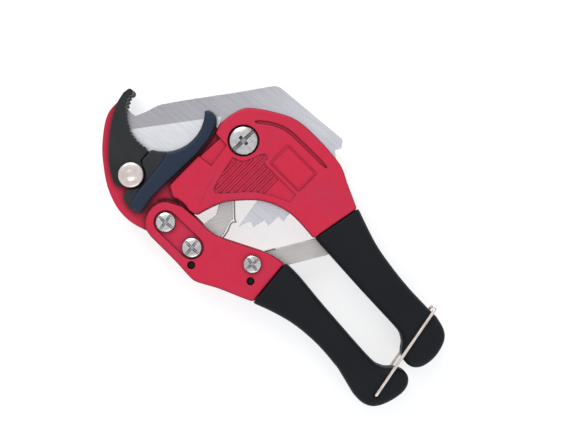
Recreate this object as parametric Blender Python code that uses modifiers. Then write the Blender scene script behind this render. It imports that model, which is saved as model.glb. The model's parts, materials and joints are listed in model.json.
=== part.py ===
"""Ratchet pipe cutter for plastic pipe up to 42 mm, closed and locked, lying on its back.

+X runs from the jaw to the ends of the grips, +Y from the lower handle towards the blade's back, and
+Z up through the tool's thickness. The origin is on the blade pivot's axis, on the plane that the tool
lies on. Plan positions and sizes below are in millimetres, and MM turns them into metres.
"""
import math

import bmesh
import bpy
from mathutils import Matrix, Vector

MM = 0.001

# Driving dimensions.
PIPE_RADIUS = 21.0        # the largest pipe that the jaw takes
MID = 11.0                # height of the blade's middle plane above the plane that the tool lies on
GAP = 0.3                 # clearance between touching pieces
BLADE_HALF = 1.0          # half thicknesses, measured from the middle plane
LINK_HALF = 1.25
BLADE_SLOT_HALF = 1.4
LINK_SLOT_HALF = 1.8
PAWL_PLATE = (1.7, 3.7)
PAWL_POCKET_HALF = 4.1
CORE_HALF = 4.5
CHANNEL_HALF = 4.8
TANG_HALF = 6.0
HANDLE_HALF = 8.0
JAW_HALF = 8.0
BODY_HALF = 8.5
GRIP_HALF = 9.0
CRADLE_HALF = 10.5
BAIL_WIRE_RADIUS = 0.8
SPRING_WIRE_RADIUS = 0.4

# Joint axes and fastener places, in plan.
BLADE_PIVOT = (0.0, 0.0)
HANDLE_PIVOT = (1.3, -56.3)
PAWL_PIVOT = (19.5, -56.0)
LINK_PIVOT = (46.7, -40.5)
BAIL_PIVOT = (136.5, -43.2)
BAIL_END = (126.8, 8.3)
GUIDE_PIN = (68.7, -4.0)
RIVET = (-27.6, -51.8)
STOP_PINS = {"pawl_stop_pin": (25.5, -62.4), "link_stop_pin": (52.1, -47.2)}
SEAT = (-37.9, -17.0)
CRADLE_SEAT = (-38.7, -17.5)
CRADLE_RADIUS = 20.4

# Blade.
EDGE_RADIUS = 24.5
EDGE_ARC = (236, 368)     # where the cutting edge starts and ends about the seat, in degrees
EDGE_WIDTH = 2.4          # how far in from the edge its own bevel starts
EDGE_LAND_HALF = 0.15     # half the thickness left at the edge
GRIND_START = (-32.7, -20.1)
GRIND_LINE_ANGLE = 53.1   # direction of the line where the long grind starts, in degrees
GRIND_ARC = (-114.3, 40.5)     # the long grind's round about the seat, between that line's ends
GRIND_SLOPE = 2.0         # degrees that the long grind falls away on each side
TEETH = 10
FIRST_TOOTH_ANGLE = -48.6
LAST_TOOTH_ANGLE = 40.9
FIRST_TOOTH_RADIUS = 43.0
LAST_TOOTH_RADIUS = 49.3
TOOTH_DEPTH = 3.0
SECTOR_CLEARANCE_RADIUS = 50.0
NIB_CLEARANCE_RADIUS = 64.5

# Link bar.
LINK_LENGTH = 58.5
LINK_WIDTH = 9.6
LINK_ANGLE = 58.9
LINK_SLOT = (40.8, 55.2)     # distances of the slot's two centres from the pivot
LINK_SLOT_WIDTH = 5.5        # wider than the guide pin, which wanders across it as the handle turns

# Fasteners: radius of the head, height of the head, radius of the shank.
PIVOT_HEAD = (7.0, 2.5, 3.7)
SCREW_HEAD = (4.8, 2.0, 2.4)
LINK_HEAD = (4.3, 1.8, 2.4)

for old in list(bpy.data.objects):
    bpy.data.objects.remove(old)

tool = bpy.data.collections.new("pipe_cutter")
cutters = bpy.data.collections.new("cutters")
for group in (tool, cutters):
    bpy.context.scene.collection.children.link(group)


# ---------------------------------------------------------------------------------- outlines

def arc(center, radius, start, end, chord_error=0.1):
    """Points along an arc, in degrees. An end below the start runs clockwise."""
    step = 2 * math.degrees(math.acos(1 - chord_error / radius))
    count = max(2, math.ceil(abs(end - start) / step))
    angles = [math.radians(start + (end - start) * i / count) for i in range(count + 1)]
    return [(center[0] + radius * math.cos(a), center[1] + radius * math.sin(a)) for a in angles]


def circle(center, radius):
    """A closed circle's points."""
    return arc(center, radius, 0, 360)[:-1]


def polar(center, radius, angle):
    """One point at a radius and an angle in degrees."""
    return (center[0] + radius * math.cos(math.radians(angle)),
            center[1] + radius * math.sin(math.radians(angle)))


def smooth(points, steps=3):
    """An open Catmull-Rom curve through the points."""
    ends = [points[0]] + list(points) + [points[-1]]
    curve = []
    for before, first, last, after in zip(ends, ends[1:], ends[2:], ends[3:]):
        for step in range(steps):
            t = step / steps
            curve.append(tuple(
                0.5 * (2 * b + (c - a) * t + (2 * a - 5 * b + 4 * c - d) * t ** 2
                       + (3 * b - a - 3 * c + d) * t ** 3)
                for a, b, c, d in zip(before, first, last, after)))
    return curve + [tuple(points[-1])]


def offset_outline(outline, gap):
    """An outline moved sideways by a gap: out if it runs anticlockwise, in if it runs clockwise."""
    count = len(outline)
    moved = []
    for i in range(count):
        before, here, after = (Vector(outline[(i + k) % count]) for k in (-1, 0, 1))
        first = (here - before).normalized()
        last = (after - here).normalized()
        normals = [Vector((edge.y, -edge.x)) for edge in (first, last)]
        middle = (normals[0] + normals[1]).normalized()
        moved.append(tuple(here + middle * gap / middle.dot(normals[0])))
    return moved


def stadium(first, last, radius):
    """The outline of a bar with round ends about two points."""
    turn = math.degrees(math.atan2(last[1] - first[1], last[0] - first[0]))
    return arc(first, radius, turn + 90, turn + 270) + arc(last, radius, turn - 90, turn + 90)


# ------------------------------------------------------------------------------ mesh helpers

def material(name, color, roughness, metallic=0.0):
    """A plain Principled material."""
    made = bpy.data.materials.new(name)
    made.use_nodes = True
    shader = made.node_tree.nodes["Principled BSDF"]
    shader.inputs["Base Color"].default_value = (*color, 1.0)
    shader.inputs["Roughness"].default_value = roughness
    shader.inputs["Metallic"].default_value = metallic
    return made


def add(name, mesh, finish=None):
    """An object for a mesh: a part when it has a finish, otherwise a hidden cutter."""
    thing = bpy.data.objects.new(name, mesh)
    if finish:
        tool.objects.link(thing)
        mesh.materials.clear()
        mesh.materials.append(finish)
        mesh.shade_smooth()
        mesh.set_sharp_from_angle(angle=math.radians(35))
    else:
        cutters.objects.link(thing)
        thing.hide_render = True
        thing.display_type = "WIRE"
    return thing


def solid(curve_object):
    """The closed mesh of a filled curve object, which is removed."""
    bpy.context.view_layer.update()
    graph = bpy.context.evaluated_depsgraph_get()
    mesh = bpy.data.meshes.new_from_object(curve_object.evaluated_get(graph))
    shape = bmesh.new()
    shape.from_mesh(mesh)
    bmesh.ops.remove_doubles(shape, verts=shape.verts, dist=0.000002)
    bmesh.ops.dissolve_limit(shape, angle_limit=math.radians(0.5), verts=shape.verts,
                             edges=shape.edges)
    bmesh.ops.transform(shape, matrix=curve_object.matrix_world, verts=shape.verts)
    bmesh.ops.recalc_face_normals(shape, faces=shape.faces)
    shape.to_mesh(mesh)
    shape.free()
    bpy.data.objects.remove(curve_object)
    return mesh


def plate(name, outline, low, high, finish=None):
    """A flat outline filled and extruded between two heights above the resting plane."""
    curve = bpy.data.curves.new(name, "CURVE")
    curve.dimensions = "2D"
    curve.fill_mode = "BOTH"
    curve.extrude = (high - low) / 2 * MM
    spline = curve.splines.new("POLY")
    spline.points.add(len(outline) - 1)
    for point, (x, y) in zip(spline.points, outline):
        point.co = (x * MM, y * MM, 0, 1)
    spline.use_cyclic_u = True
    flat = bpy.data.objects.new(name, curve)
    flat.location.z = (low + high) / 2 * MM
    bpy.context.scene.collection.objects.link(flat)
    return add(name, solid(flat), finish)


def slab(name, outline, half, finish=None):
    """A plate centred on the middle plane."""
    return plate(name, outline, MID - half, MID + half, finish)


def side_plate(name, outline, side, inner, outer, finish=None):
    """A plate between two distances from the middle plane, on the front (+1) or back (-1) side."""
    low, high = sorted((MID + side * inner, MID + side * outer))
    return plate(name, outline, low, high, finish)


def turned(name, center, profile, finish=None, steps=18):
    """A profile of (radius, height) from top to bottom, turned about a vertical axis."""
    mesh = bpy.data.meshes.new(name)
    closed = profile[0] == profile[-1]
    points = [(radius * MM, 0, height * MM) for radius, height in profile[:-1 if closed else None]]
    edges = [(i, i + 1) for i in range(len(points) - 1)] + [(len(points) - 1, 0)] * closed
    mesh.from_pydata(points, edges, [])
    thing = add(name, mesh, finish)
    thing.location = (center[0] * MM, center[1] * MM, 0)
    screw = thing.modifiers.new("turn", "SCREW")
    screw.steps = steps
    screw.render_steps = steps
    screw.use_merge_vertices = True
    screw.merge_threshold = 0.00001
    screw.use_smooth_shade = bool(finish)
    return thing


def tube(name, center, outer, inner, low, high, finish=None, steps=18):
    """A ring or sleeve about a vertical axis."""
    profile = [(inner, high), (outer, high), (outer, low), (inner, low), (inner, high)]
    return turned(name, center, profile, finish, steps)


def hex_prism(name, center, across_flats, low, high, finish=None):
    """A six-sided prism, such as a nut."""
    shape = bmesh.new()
    radius = across_flats / math.sqrt(3)
    bmesh.ops.create_cone(shape, cap_ends=True, segments=6, radius1=radius * MM,
                          radius2=radius * MM, depth=(high - low) * MM)
    mesh = bpy.data.meshes.new(name)
    shape.to_mesh(mesh)
    shape.free()
    thing = add(name, mesh, finish)
    thing.location = (center[0] * MM, center[1] * MM, (low + high) / 2 * MM)
    return thing


def wire(name, points, radius, finish):
    """A round wire through points in space."""
    curve = bpy.data.curves.new(name, "CURVE")
    curve.dimensions = "3D"
    curve.bevel_depth = radius * MM
    curve.bevel_resolution = 1
    curve.use_fill_caps = True
    spline = curve.splines.new("POLY")
    spline.points.add(len(points) - 1)
    for point, place in zip(spline.points, points):
        point.co = (*[value * MM for value in place], 1)
    rod = bpy.data.objects.new(name, curve)
    bpy.context.scene.collection.objects.link(rod)
    return add(name, solid(rod), finish)


def soften(thing, width, segments=2):
    """Round the plate's rims, whose edges are sharper than its outline's facets."""
    bevel = thing.modifiers.new("rounded_rim", "BEVEL")
    bevel.width = width * MM
    bevel.segments = segments
    bevel.limit_method = "ANGLE"
    bevel.angle_limit = math.radians(50)
    bevel.use_clamp_overlap = False


def combine(thing, other, operation, solver="EXACT"):
    """Add a Boolean modifier."""
    boolean = thing.modifiers.new(operation.lower() + "_" + other.name, "BOOLEAN")
    boolean.operation = operation
    boolean.object = other
    boolean.solver = solver


def cut(thing, *others):
    """Cut each cutter out of a part."""
    for other in others:
        combine(thing, other, "DIFFERENCE")


def join(thing, *others):
    """Join hidden solids onto a part."""
    for other in others:
        combine(thing, other, "UNION")


def bore(thing, center, radius, low=-5.0, high=30.0):
    """Cut a round hole, right through the tool unless heights are given."""
    name = "{}_bore_{}".format(thing.name, len(thing.modifiers))
    cut(thing, plate(name, circle(center, radius), low, high))


def joint_empty(name, center, pieces):
    """An empty on a joint's axis, which its moving pieces hang from."""
    empty = bpy.data.objects.new(name, None)
    tool.objects.link(empty)
    empty.location = (center[0] * MM, center[1] * MM, MID * MM)
    bpy.context.view_layer.update()
    for piece in pieces:
        piece.parent = empty
        piece.matrix_parent_inverse = empty.matrix_world.inverted()


# --------------------------------------------------------------------------- shared outlines

def blade_slot_outline():
    """The plane that the blade sweeps: its toothed sector, its nib, and its edge when closed."""
    return (arc(BLADE_PIVOT, SECTOR_CLEARANCE_RADIUS, -118, 95)
            + arc(BLADE_PIVOT, NIB_CLEARANCE_RADIUS, 95, 210.5)
            + arc(SEAT, EDGE_RADIUS + 0.7, -139, -58))


def body_outline():
    """The thick cheeks around the blade pivot, with the arch that the fingers look through."""
    back = smooth([(-14.4, -2.5), (-13.7, 4.6), (-11.4, 11.6), (-7.4, 15.6), (-0.5, 20.3),
                   (8.8, 25.3), (18.0, 27.0), (28.9, 27.0), (39.7, 26.2), (45.5, 24.8),
                   (51.2, 21.9), (59.2, 18.3), (64.3, 16.0)])
    arch = smooth([(59.6, -9.9), (53.7, -9.4), (46.9, -9.1), (40.2, -9.6), (32.1, -12.4),
                   (25.1, -16.9), (16.8, -25.9), (12.8, -32.7), (10.1, -40.9), (9.7, -43.2)])
    handle_clearance = arc(HANDLE_PIVOT, 12.9, 72, 120)
    cradle_side = [(-10.7, -42.0), (-10.7, -21.0), (-12.0, -9.5)]
    return back + arch + handle_clearance + cradle_side


def core_outline():
    """The thinner core: the jaw's arm, and the tongue that the lower handle straddles."""
    arm = smooth([(-58.6, -31.0), (-58.2, -37.3), (-55.0, -43.8), (-48.1, -52.3), (-41.0, -58.5),
                  (-32.0, -64.6), (-21.9, -68.4), (-13.1, -69.0), (-5.9, -67.4), (-1.5, -65.8)])
    tongue = arc(HANDLE_PIVOT, 9.0, -88, 70)
    neck = [(6.0, -38.0), (0.0, -30.0), (-8.0, -12.0), (-12.6, -6.0), (-14.6, -4.6)]
    return arm + tongue + neck + arc(SEAT, PIPE_RADIUS + 3.0, 30, -143)


def hook_teeth():
    """The serrations around the hook's inner edge, from its root to its tip."""
    count = 15
    first, last = -72.0, -157.0
    depth, narrowing = 1.1, 1.2
    step = (last - first) / count
    teeth = []
    for i in range(count + 1):
        root = PIPE_RADIUS + 0.6 - narrowing * i / count
        teeth.append(polar(SEAT, root, first + i * step))
        teeth.append(polar(SEAT, root - depth, first + (i + 0.75) * step))
    return teeth[:-1]


def hook_outline():
    """The black jaw plate: serrated inside, wrapped around the rivet at its root."""
    tip = arc((-57.4, -23.1), 1.8, -45, 150)
    outer = smooth([(-59.4, -25.3), (-58.4, -30.0), (-56.7, -34.2), (-52.8, -40.7), (-46.8, -48.2),
                    (-40.6, -54.6), (-33.3, -59.5), (-29.2, -60.9)])
    root = arc(RIVET, 6.6, -70, 76)
    return [(-29.9, -37.4)] + hook_teeth() + tip + outer + root + [(-29.4, -43.2)]


def cradle_web_outline():
    """The black web behind the pipe, hollowed to the pipe's round and relieved at the rivet."""
    return (arc(CRADLE_SEAT, CRADLE_RADIUS, -63, 40) + CRADLE_FLANK + [(-16.2, -64.3), (-22.3, -63.0)]
            + arc(RIVET, 7.1, -62, 84) + [(-29.0, -43.0)])


def cradle_bar_outline():
    """The bar that stands up just inside the web's flank, from its horn down to its foot."""
    foot = [(-14.0, -63.2), (-17.8, -61.4), (-19.2, -58.0)]
    web_side = [(-19.9, -52.0), (-20.6, -46.0), (-21.6, -37.0)]
    inset = 0.2
    return offset_outline(arc(CRADLE_SEAT, CRADLE_RADIUS, -41, 40) + CRADLE_FLANK + foot + web_side,
                          inset)


def upper_grip_outline():
    """The upper grip in plan, run on past its mouth, which is cut square afterwards."""
    back = smooth([(56.0, 19.0), (64.8, 16.6), (82.2, 10.7), (95.6, 8.1), (110.0, 6.5), (124.4, 6.0)])
    toe = smooth([(130.4, 6.1), (136.8, 4.5), (141.0, 1.5), (143.4, -3.8), (144.3, -10.4),
                  (143.0, -16.8), (140.0, -20.3), (136.2, -21.2), (132.6, -20.4), (129.9, -18.4),
                  (127.6, -15.2)])
    front = smooth([(124.0, -12.9), (118.9, -12.2), (94.1, -11.3), (61.9, -9.5), (54.0, -9.3)])
    return back + toe + front


def lower_grip_outline():
    """The lower grip in plan, run on past its mouth, which is cut square afterwards."""
    front = smooth([(52.0, -29.6), (58.6, -28.4), (68.3, -28.3), (87.2, -30.1), (118.9, -32.2),
                    (126.4, -32.0)])
    toe = smooth([(130.1, -30.3), (133.8, -26.7), (138.0, -24.7), (141.9, -25.3), (144.7, -28.9),
                  (145.3, -33.6), (144.2, -39.5), (142.0, -45.2), (138.8, -49.0), (133.8, -50.9),
                  (127.8, -50.7)])
    back = smooth([(113.9, -47.2), (99.1, -46.0), (84.2, -47.0), (72.3, -49.9), (61.1, -54.0),
                   (53.0, -57.4)])
    return front + toe + back


def link_outline():
    """The link bar at rest, in plan."""
    return stadium(LINK_PIVOT, polar(LINK_PIVOT, LINK_LENGTH - LINK_WIDTH / 2, LINK_ANGLE),
                   LINK_WIDTH / 2)


CRADLE_FLANK = [(-24.5, -3.2), (-23.0, -1.4), (-20.6, -0.7), (-18.0, -1.2), (-15.5, -3.4),
                (-12.7, -10.5), (-11.6, -21.0), (-12.2, -40.0), (-12.2, -52.0), (-11.0, -58.7),
                (-10.9, -62.6)]
UPPER_TANG = [(58.0, -7.4), (66.0, -7.6), (120.0, -9.0), (120.0, 2.6), (84.0, 6.4), (64.0, 12.4),
              (58.0, 12.4)]
LOWER_TANG = [(54.0, -50.0), (72.0, -46.2), (88.0, -43.2), (126.0, -44.0), (126.0, -36.4),
              (86.0, -33.8), (66.0, -32.0), (54.0, -34.0)]
LINK_PATH_IN_GRIP = [(56.0, -16.0), (57.6, -12.0), (70.0, 9.8), (73.5, 11.0), (77.5, 10.7),
                     (80.6, 7.2), (80.3, 3.4), (72.8, -10.0), (72.4, -16.0)]
LINK_PATH_IN_HANDLE = [(50.0, -49.0), (54.5, -46.0), (63.0, -30.5), (63.0, -18.0), (44.0, -18.0),
                       (44.0, -49.0)]
PAWL_POCKET = [(9.0, -48.0), (9.0, -38.0), (8.0, -30.0), (9.5, -21.0), (20.0, -19.5), (30.0, -28.0),
               (30.0, -48.0)]
HANDLE_CHANNEL = [(-16.0, -40.0), (-16.0, -72.0), (11.5, -72.0), (11.5, -62.6), (29.8, -63.3),
                  (42.0, -57.2), (56.0, -51.0), (56.0, -20.0), (-16.0, -20.0)]
UPPER_MOUTH = [(45.0, -30.0), (56.5, -30.0), (60.3, -9.5), (65.1, 16.7), (67.6, 30.0), (45.0, 30.0)]
LOWER_MOUTH = [(40.0, -70.0), (62.7, -70.0), (58.4, -25.0), (57.0, -10.0), (40.0, -10.0)]


# ------------------------------------------------------------------------------------ pieces

RED = material("red_enamel", (0.56, 0.045, 0.09), 0.38)
BLACK = material("black_casting", (0.018, 0.022, 0.03), 0.42)
RUBBER = material("grip_vinyl", (0.012, 0.013, 0.017), 0.55)
STEEL = material("ground_steel", (0.55, 0.56, 0.58), 0.28, 1.0)
WARM_STEEL = material("stamped_steel", (0.46, 0.43, 0.40), 0.40, 1.0)
NICKEL = material("nickel_plate", (0.72, 0.71, 0.70), 0.22, 1.0)
RIVET_STEEL = material("rivet_steel", (0.66, 0.60, 0.54), 0.32, 1.0)
WIRE_STEEL = material("spring_wire", (0.50, 0.47, 0.45), 0.30, 1.0)


def make_frame_casting():
    """The one-piece frame: jaw arm, tongue, cheeks, and the tang inside the upper grip."""
    frame = slab("frame_casting", body_outline(), BODY_HALF, RED)
    soften(frame, 1.3)
    join(frame, slab("frame_core", core_outline(), CORE_HALF),
         slab("upper_tang", UPPER_TANG, TANG_HALF))
    cut(frame, slab("blade_slot", blade_slot_outline(), BLADE_SLOT_HALF),
        slab("pawl_pocket", PAWL_POCKET, PAWL_POCKET_HALF),
        slab("upper_link_path", LINK_PATH_IN_GRIP, LINK_SLOT_HALF))
    bore(frame, BLADE_PIVOT, 4.0)
    bore(frame, BLADE_PIVOT, 8.0, low=MID + 5.0)
    bore(frame, BLADE_PIVOT, 8.6, high=MID - 6.4)
    bore(frame, HANDLE_PIVOT, 2.7)
    bore(frame, RIVET, 3.2)
    bore(frame, GUIDE_PIN, 1.8)
    return frame


def make_jaw_and_cradle(face, side):
    """One side's serrated hook plate and pipe cradle, each lipped over the frame's core."""
    hook = side_plate("hook_jaw_" + face, hook_outline(), side, 1.7, JAW_HALF, BLACK)
    cradle = side_plate("pipe_cradle_" + face, cradle_web_outline(), side, 1.7, JAW_HALF, BLACK)
    soften(cradle, 0.5)
    bar = side_plate("cradle_bar_" + face, cradle_bar_outline(), side, 5.4, CRADLE_HALF)
    soften(bar, 1.6, segments=3)
    low, high = sorted((MID + side * 1.0, MID + side * (CORE_HALF + GAP)))
    lip = PIPE_RADIUS + 2.7
    for piece in (hook, cradle):
        cut(piece, tube(piece.name + "_lip", SEAT, 80.0, lip, low, high, steps=72))
    join(cradle, bar)
    bore(hook, RIVET, 3.2)


def make_rivet():
    """The rivet through both hook plates and the frame, with a flat head on each side."""
    head, shank = 6.4, 2.9
    top = MID + JAW_HALF + GAP + 1.7
    under = MID + JAW_HALF + GAP
    profile = [(0, top - 0.5), (2.2, top - 0.5), (2.6, top), (head - 0.5, top), (head, top - 0.5),
               (head, under), (shank, under), (shank, 2 * MID - under),
               (head - 0.6, 2 * MID - under), (head - 0.6, 2 * MID - top + 0.4),
               (head - 1.2, 2 * MID - top), (0, 2 * MID - top)]
    turned("jaw_rivet", RIVET, profile, RIVET_STEEL, steps=24)


def screw_profile(head, shank, seat, top, end):
    """A domed screw from the crown of its head to the end of its shank."""
    return [(0, top), (head * 0.55, top - 0.15), (head * 0.85, top - 0.5), (head, top - 1.1),
            (head, seat), (shank, seat), (shank, end), (0, end)]


def slot_head(screw, center, length, turn, top):
    """Cut a cross recess in a screw's head."""
    for angle in (turn, turn + 90):
        ends = [polar(center, length / 2, angle), polar(center, length / 2, angle + 180)]
        cut(screw, plate("{}_recess_{}".format(screw.name, angle), stadium(*ends, 0.6),
                         top - 1.0, top + 2))


def make_fastener(name, center, head, seat, back_seat, across_flats, turn):
    """A domed screw from the front and its blind nut at the back, which may both be recessed."""
    head_radius, head_height, shank = head
    top = seat + GAP + head_height
    nut_high = back_seat - GAP
    nut_low = nut_high - 2.2
    screw = turned(name + "_screw", center,
                   screw_profile(head_radius, shank, seat + GAP, top, nut_low + 1.1), NICKEL)
    slot_head(screw, center, head_radius * 1.1, turn, top)
    nut = hex_prism(name + "_nut", center, across_flats, nut_low, nut_high, NICKEL)
    bore(nut, center, shank + GAP, low=nut_low + 0.8)
    return screw, nut


def make_blade_pivot():
    """The blade's bolt, spring washer, bush and flush back nut."""
    head, height, shank = PIVOT_HEAD
    floor = MID + 5.0
    tube("pivot_spring_washer", BLADE_PIVOT, 6.6, 4.1, floor + GAP, floor + GAP + 0.8, WIRE_STEEL)
    under = floor + 2 * GAP + 0.8
    top = under + height
    bolt = turned("blade_pivot_bolt", BLADE_PIVOT,
                  screw_profile(head, shank, under, top, 1.8), NICKEL, steps=24)
    slot_head(bolt, BLADE_PIVOT, head * 1.2, 35, top)
    nut = hex_prism("blade_pivot_nut", BLADE_PIVOT, 13.0, 0.0, MID - 6.4 - GAP, NICKEL)
    bore(nut, BLADE_PIVOT, shank + GAP, low=1.4)
    tube("blade_bush", BLADE_PIVOT, 5.7, shank + GAP, MID - 1.1, MID + 1.1, WARM_STEEL)


def blade_teeth():
    """The ratchet sector's outline from its first tooth, under the tool, round to the last."""
    outline = []
    step = (LAST_TOOTH_ANGLE - FIRST_TOOTH_ANGLE) / (TEETH - 1)
    growth = (LAST_TOOTH_RADIUS - FIRST_TOOTH_RADIUS) / (TEETH - 1)
    for i in range(TEETH):
        angle = FIRST_TOOTH_ANGLE + i * step
        radius = FIRST_TOOTH_RADIUS + i * growth
        outline.append(polar(BLADE_PIVOT, radius, angle))
        if i < TEETH - 1:
            outline.append(polar(BLADE_PIVOT, radius - TOOTH_DEPTH * 0.6, angle + step * 0.5))
            outline.append(polar(BLADE_PIVOT, radius - TOOTH_DEPTH + 0.5, angle + step * 0.86))
    return outline


def blade_outline():
    """The blade in plan, closed: cutting edge, sector, back and nib."""
    edge = arc(SEAT, EDGE_RADIUS, *EDGE_ARC)
    hub = arc(BLADE_PIVOT, 13.5, -128, -40)
    back = [(34.9, 35.5), (34.0, 35.8), (-6.2, 32.2), (-9.1, 30.6), (-20.6, 14.2)]
    nose = smooth([(-35.7, -6.2), (-40.9, -13.7), (-43.5, -18.0), (-45.6, -24.6), (-47.7, -29.5)])
    nib = [(-50.0, -30.0), (-54.3, -29.7), (-55.0, -32.4)]
    return edge + hub + [(25.9, -16.2)] + blade_teeth() + back + nose + nib


def make_blade():
    """The blade: a long flat grind from a straight line, then a short bevel along the edge."""
    blade = slab("blade", blade_outline(), BLADE_HALF, STEEL)
    line = Vector((*polar((0, 0), 1, GRIND_LINE_ANGLE), 0))
    outer = EDGE_RADIUS + 3.0
    for side in (1, -1):
        grind = side_plate("long_grind_{}".format(side), arc(SEAT, outer, *GRIND_ARC), side,
                           BLADE_HALF, BLADE_HALF + 3.0)
        hinge = Vector((*GRIND_START, MID + side * BLADE_HALF)) * MM
        tilt = Matrix.Rotation(math.radians(side * GRIND_SLOPE), 4, line)
        grind.matrix_world = Matrix.Translation(hinge) @ tilt @ Matrix.Translation(-hinge)
        land, root = MID + side * EDGE_LAND_HALF, MID + side * BLADE_SLOT_HALF
        inner = EDGE_RADIUS - EDGE_WIDTH
        ring = [(inner, root), (outer, root), (outer, land), (EDGE_RADIUS, land), (inner, root)]
        edge = turned("edge_grind_{}".format(side), SEAT, ring[::side], steps=72)
        sector = plate("edge_sector_{}".format(side), [SEAT] + arc(SEAT, 2 * outer, *EDGE_ARC), 0,
                       2 * MID)
        combine(edge, sector, "INTERSECT")
        cut(blade, grind, edge)
    bore(blade, BLADE_PIVOT, 6.0)
    return blade


def handle_outline():
    """The lower handle's cheeks: a boss about its pivot, then an arm to the grip."""
    boss = arc(HANDLE_PIVOT, 10.4, 130, 268)
    back = smooth([(6.0, -66.7), (18.9, -66.7), (29.5, -67.2), (34.0, -66.2), (43.2, -61.2),
                   (53.6, -56.7), (60.4, -53.6)])
    front = smooth([(58.1, -28.9), (52.6, -29.9), (47.2, -31.7), (31.5, -39.6), (24.8, -42.7),
                    (17.9, -43.9), (9.9, -43.9), (1.5, -44.7)])
    return boss + back + front


def make_lower_handle():
    """The lower handle: two cheeks that straddle the frame's tongue, joined by a floor."""
    handle = slab("lower_handle_casting", handle_outline(), HANDLE_HALF, RED)
    soften(handle, 1.3)
    join(handle, slab("lower_tang", LOWER_TANG, TANG_HALF))
    cut(handle, slab("handle_channel", HANDLE_CHANNEL, CHANNEL_HALF),
        slab("lower_link_path", LINK_PATH_IN_HANDLE, LINK_SLOT_HALF))
    for side in (1, -1):
        recess = stadium(HANDLE_PIVOT, PAWL_PIVOT, 5.9)
        cut(handle, side_plate("screw_recess_{}".format(side), recess, side, HANDLE_HALF - 1.0, 15))
    for center in (HANDLE_PIVOT, PAWL_PIVOT, LINK_PIVOT):
        bore(handle, center, 2.7)
    for center in STOP_PINS.values():
        bore(handle, center, 2.0)
    return handle


def make_grip(name, outline, tang, mouth, link_path):
    """A moulded grip: a rounded solid with a pocket for its tang, open at the mouth."""
    grip = slab(name, outline, GRIP_HALF, RUBBER)
    soften(grip, 3.2, segments=3)
    combine(grip, plate(name + "_mouth", mouth, -5, 30), "DIFFERENCE", solver="MANIFOLD")
    cut(grip, slab(name + "_pocket", offset_outline(tang, GAP), TANG_HALF + GAP),
        slab(name + "_link_path", link_path, LINK_SLOT_HALF))
    return grip


def make_pawl():
    """The drive pawl: two stamped plates that straddle the blade's sector, on a shared hub."""
    outline = arc(PAWL_PIVOT, 4.2, 165, 375) + [
        (25.0, -48.0), (25.8, -40.7), (23.4, -33.2), (23.8, -31.9), (17.1, -25.4), (14.4, -24.6),
        (12.6, -26.8), (14.0, -31.8), (16.4, -36.0), (15.4, -43.2)]
    inner, outer = PAWL_PLATE
    pawl = side_plate("drive_pawl", outline, 1, inner, outer, WARM_STEEL)
    join(pawl, side_plate("pawl_back_plate", outline, -1, inner, outer),
         slab("pawl_hub", circle(PAWL_PIVOT, 3.7), outer - 0.5))
    bore(pawl, PAWL_PIVOT, 2.7)
    return pawl


def make_link():
    """The link bar, with its pivot hole and the slot that slides on the guide pin."""
    link = slab("opening_link", link_outline(), LINK_HALF, WARM_STEEL)
    bore(link, LINK_PIVOT, 2.7)
    ends = [polar(LINK_PIVOT, reach, LINK_ANGLE) for reach in LINK_SLOT]
    cut(link, slab("link_slot", stadium(ends[0], ends[1], LINK_SLOT_WIDTH / 2), 5))
    return link


def coil(center, radius, low, high, turns, start):
    """Points of a coil spring about a vertical axis."""
    count = round(turns * 10)
    return [(*polar(center, radius, start + 360 * turns * i / count), low + (high - low) * i / count)
            for i in range(count + 1)]


def make_springs():
    """The pawl's torsion spring, whose leg lies along the pawl, and the link's opening spring."""
    height = MID + 2.7
    leg = [(25.4, -53.6, height - 0.3), (26.8, -40.5, height), (24.7, -33.7, height),
           (26.0, -31.4, height), (24.5, -30.9, height), (17.5, -24.3, height)]
    pawl_spring = wire("pawl_spring", coil(PAWL_PIVOT, 5.0, MID - 1.0, MID + 1.0, 2.0, 0) + leg,
                       SPRING_WIRE_RADIUS, WIRE_STEEL)
    floor_angle = 215.0
    start, end = LINK_ANGLE + 90, floor_angle - 90
    low, high = MID + 1.95, MID + 4.2
    turns = coil(LINK_PIVOT, 4.7, low, high, (end - start) / 360 + 2, start)
    on_link = (*polar(turns[0][:2], 13.0, LINK_ANGLE), low)
    on_floor = (*polar(turns[-1][:2], 10.0, floor_angle), high)
    opening_spring = wire("opening_spring", [on_link] + turns + [on_floor], SPRING_WIRE_RADIUS,
                          WIRE_STEEL)
    return pawl_spring, opening_spring


def rounded_path(points, radius, steps=3):
    """A path in space whose corners are rounded by a curve that starts a radius before each."""
    path = [points[0]]
    for before, corner, after in zip(points, points[1:], points[2:]):
        here = Vector(corner)
        first = here + (Vector(before) - here).normalized() * radius
        last = here + (Vector(after) - here).normalized() * radius
        for step in range(steps + 1):
            t = step / steps
            path.append(tuple(first.lerp(here, t).lerp(here.lerp(last, t), t)))
    return path + [points[-1]]


def make_bail():
    """The wire bail that locks the handles: its ends turn in the lower grip."""
    reach = GRIP_HALF + 0.35 + BAIL_WIRE_RADIUS
    inside = 5.5
    corners = [(*BAIL_PIVOT, MID - inside), (*BAIL_PIVOT, MID - reach), (*BAIL_END, MID - reach),
               (*BAIL_END, MID + reach), (*BAIL_PIVOT, MID + reach), (*BAIL_PIVOT, MID + inside)]
    return wire("wire_bail", rounded_path(corners, 1.6), BAIL_WIRE_RADIUS, WIRE_STEEL)


def make_pin(name, center, radius, half, finish):
    """A plain pin across the middle plane, with chamfered ends."""
    chamfer = 0.3
    profile = [(0, MID + half), (radius - chamfer, MID + half), (radius, MID + half - chamfer),
               (radius, MID - half + chamfer), (radius - chamfer, MID - half), (0, MID - half)]
    return turned(name, center, profile, finish, steps=14)


# ---------------------------------------------------------------------------------- assembly

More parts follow.
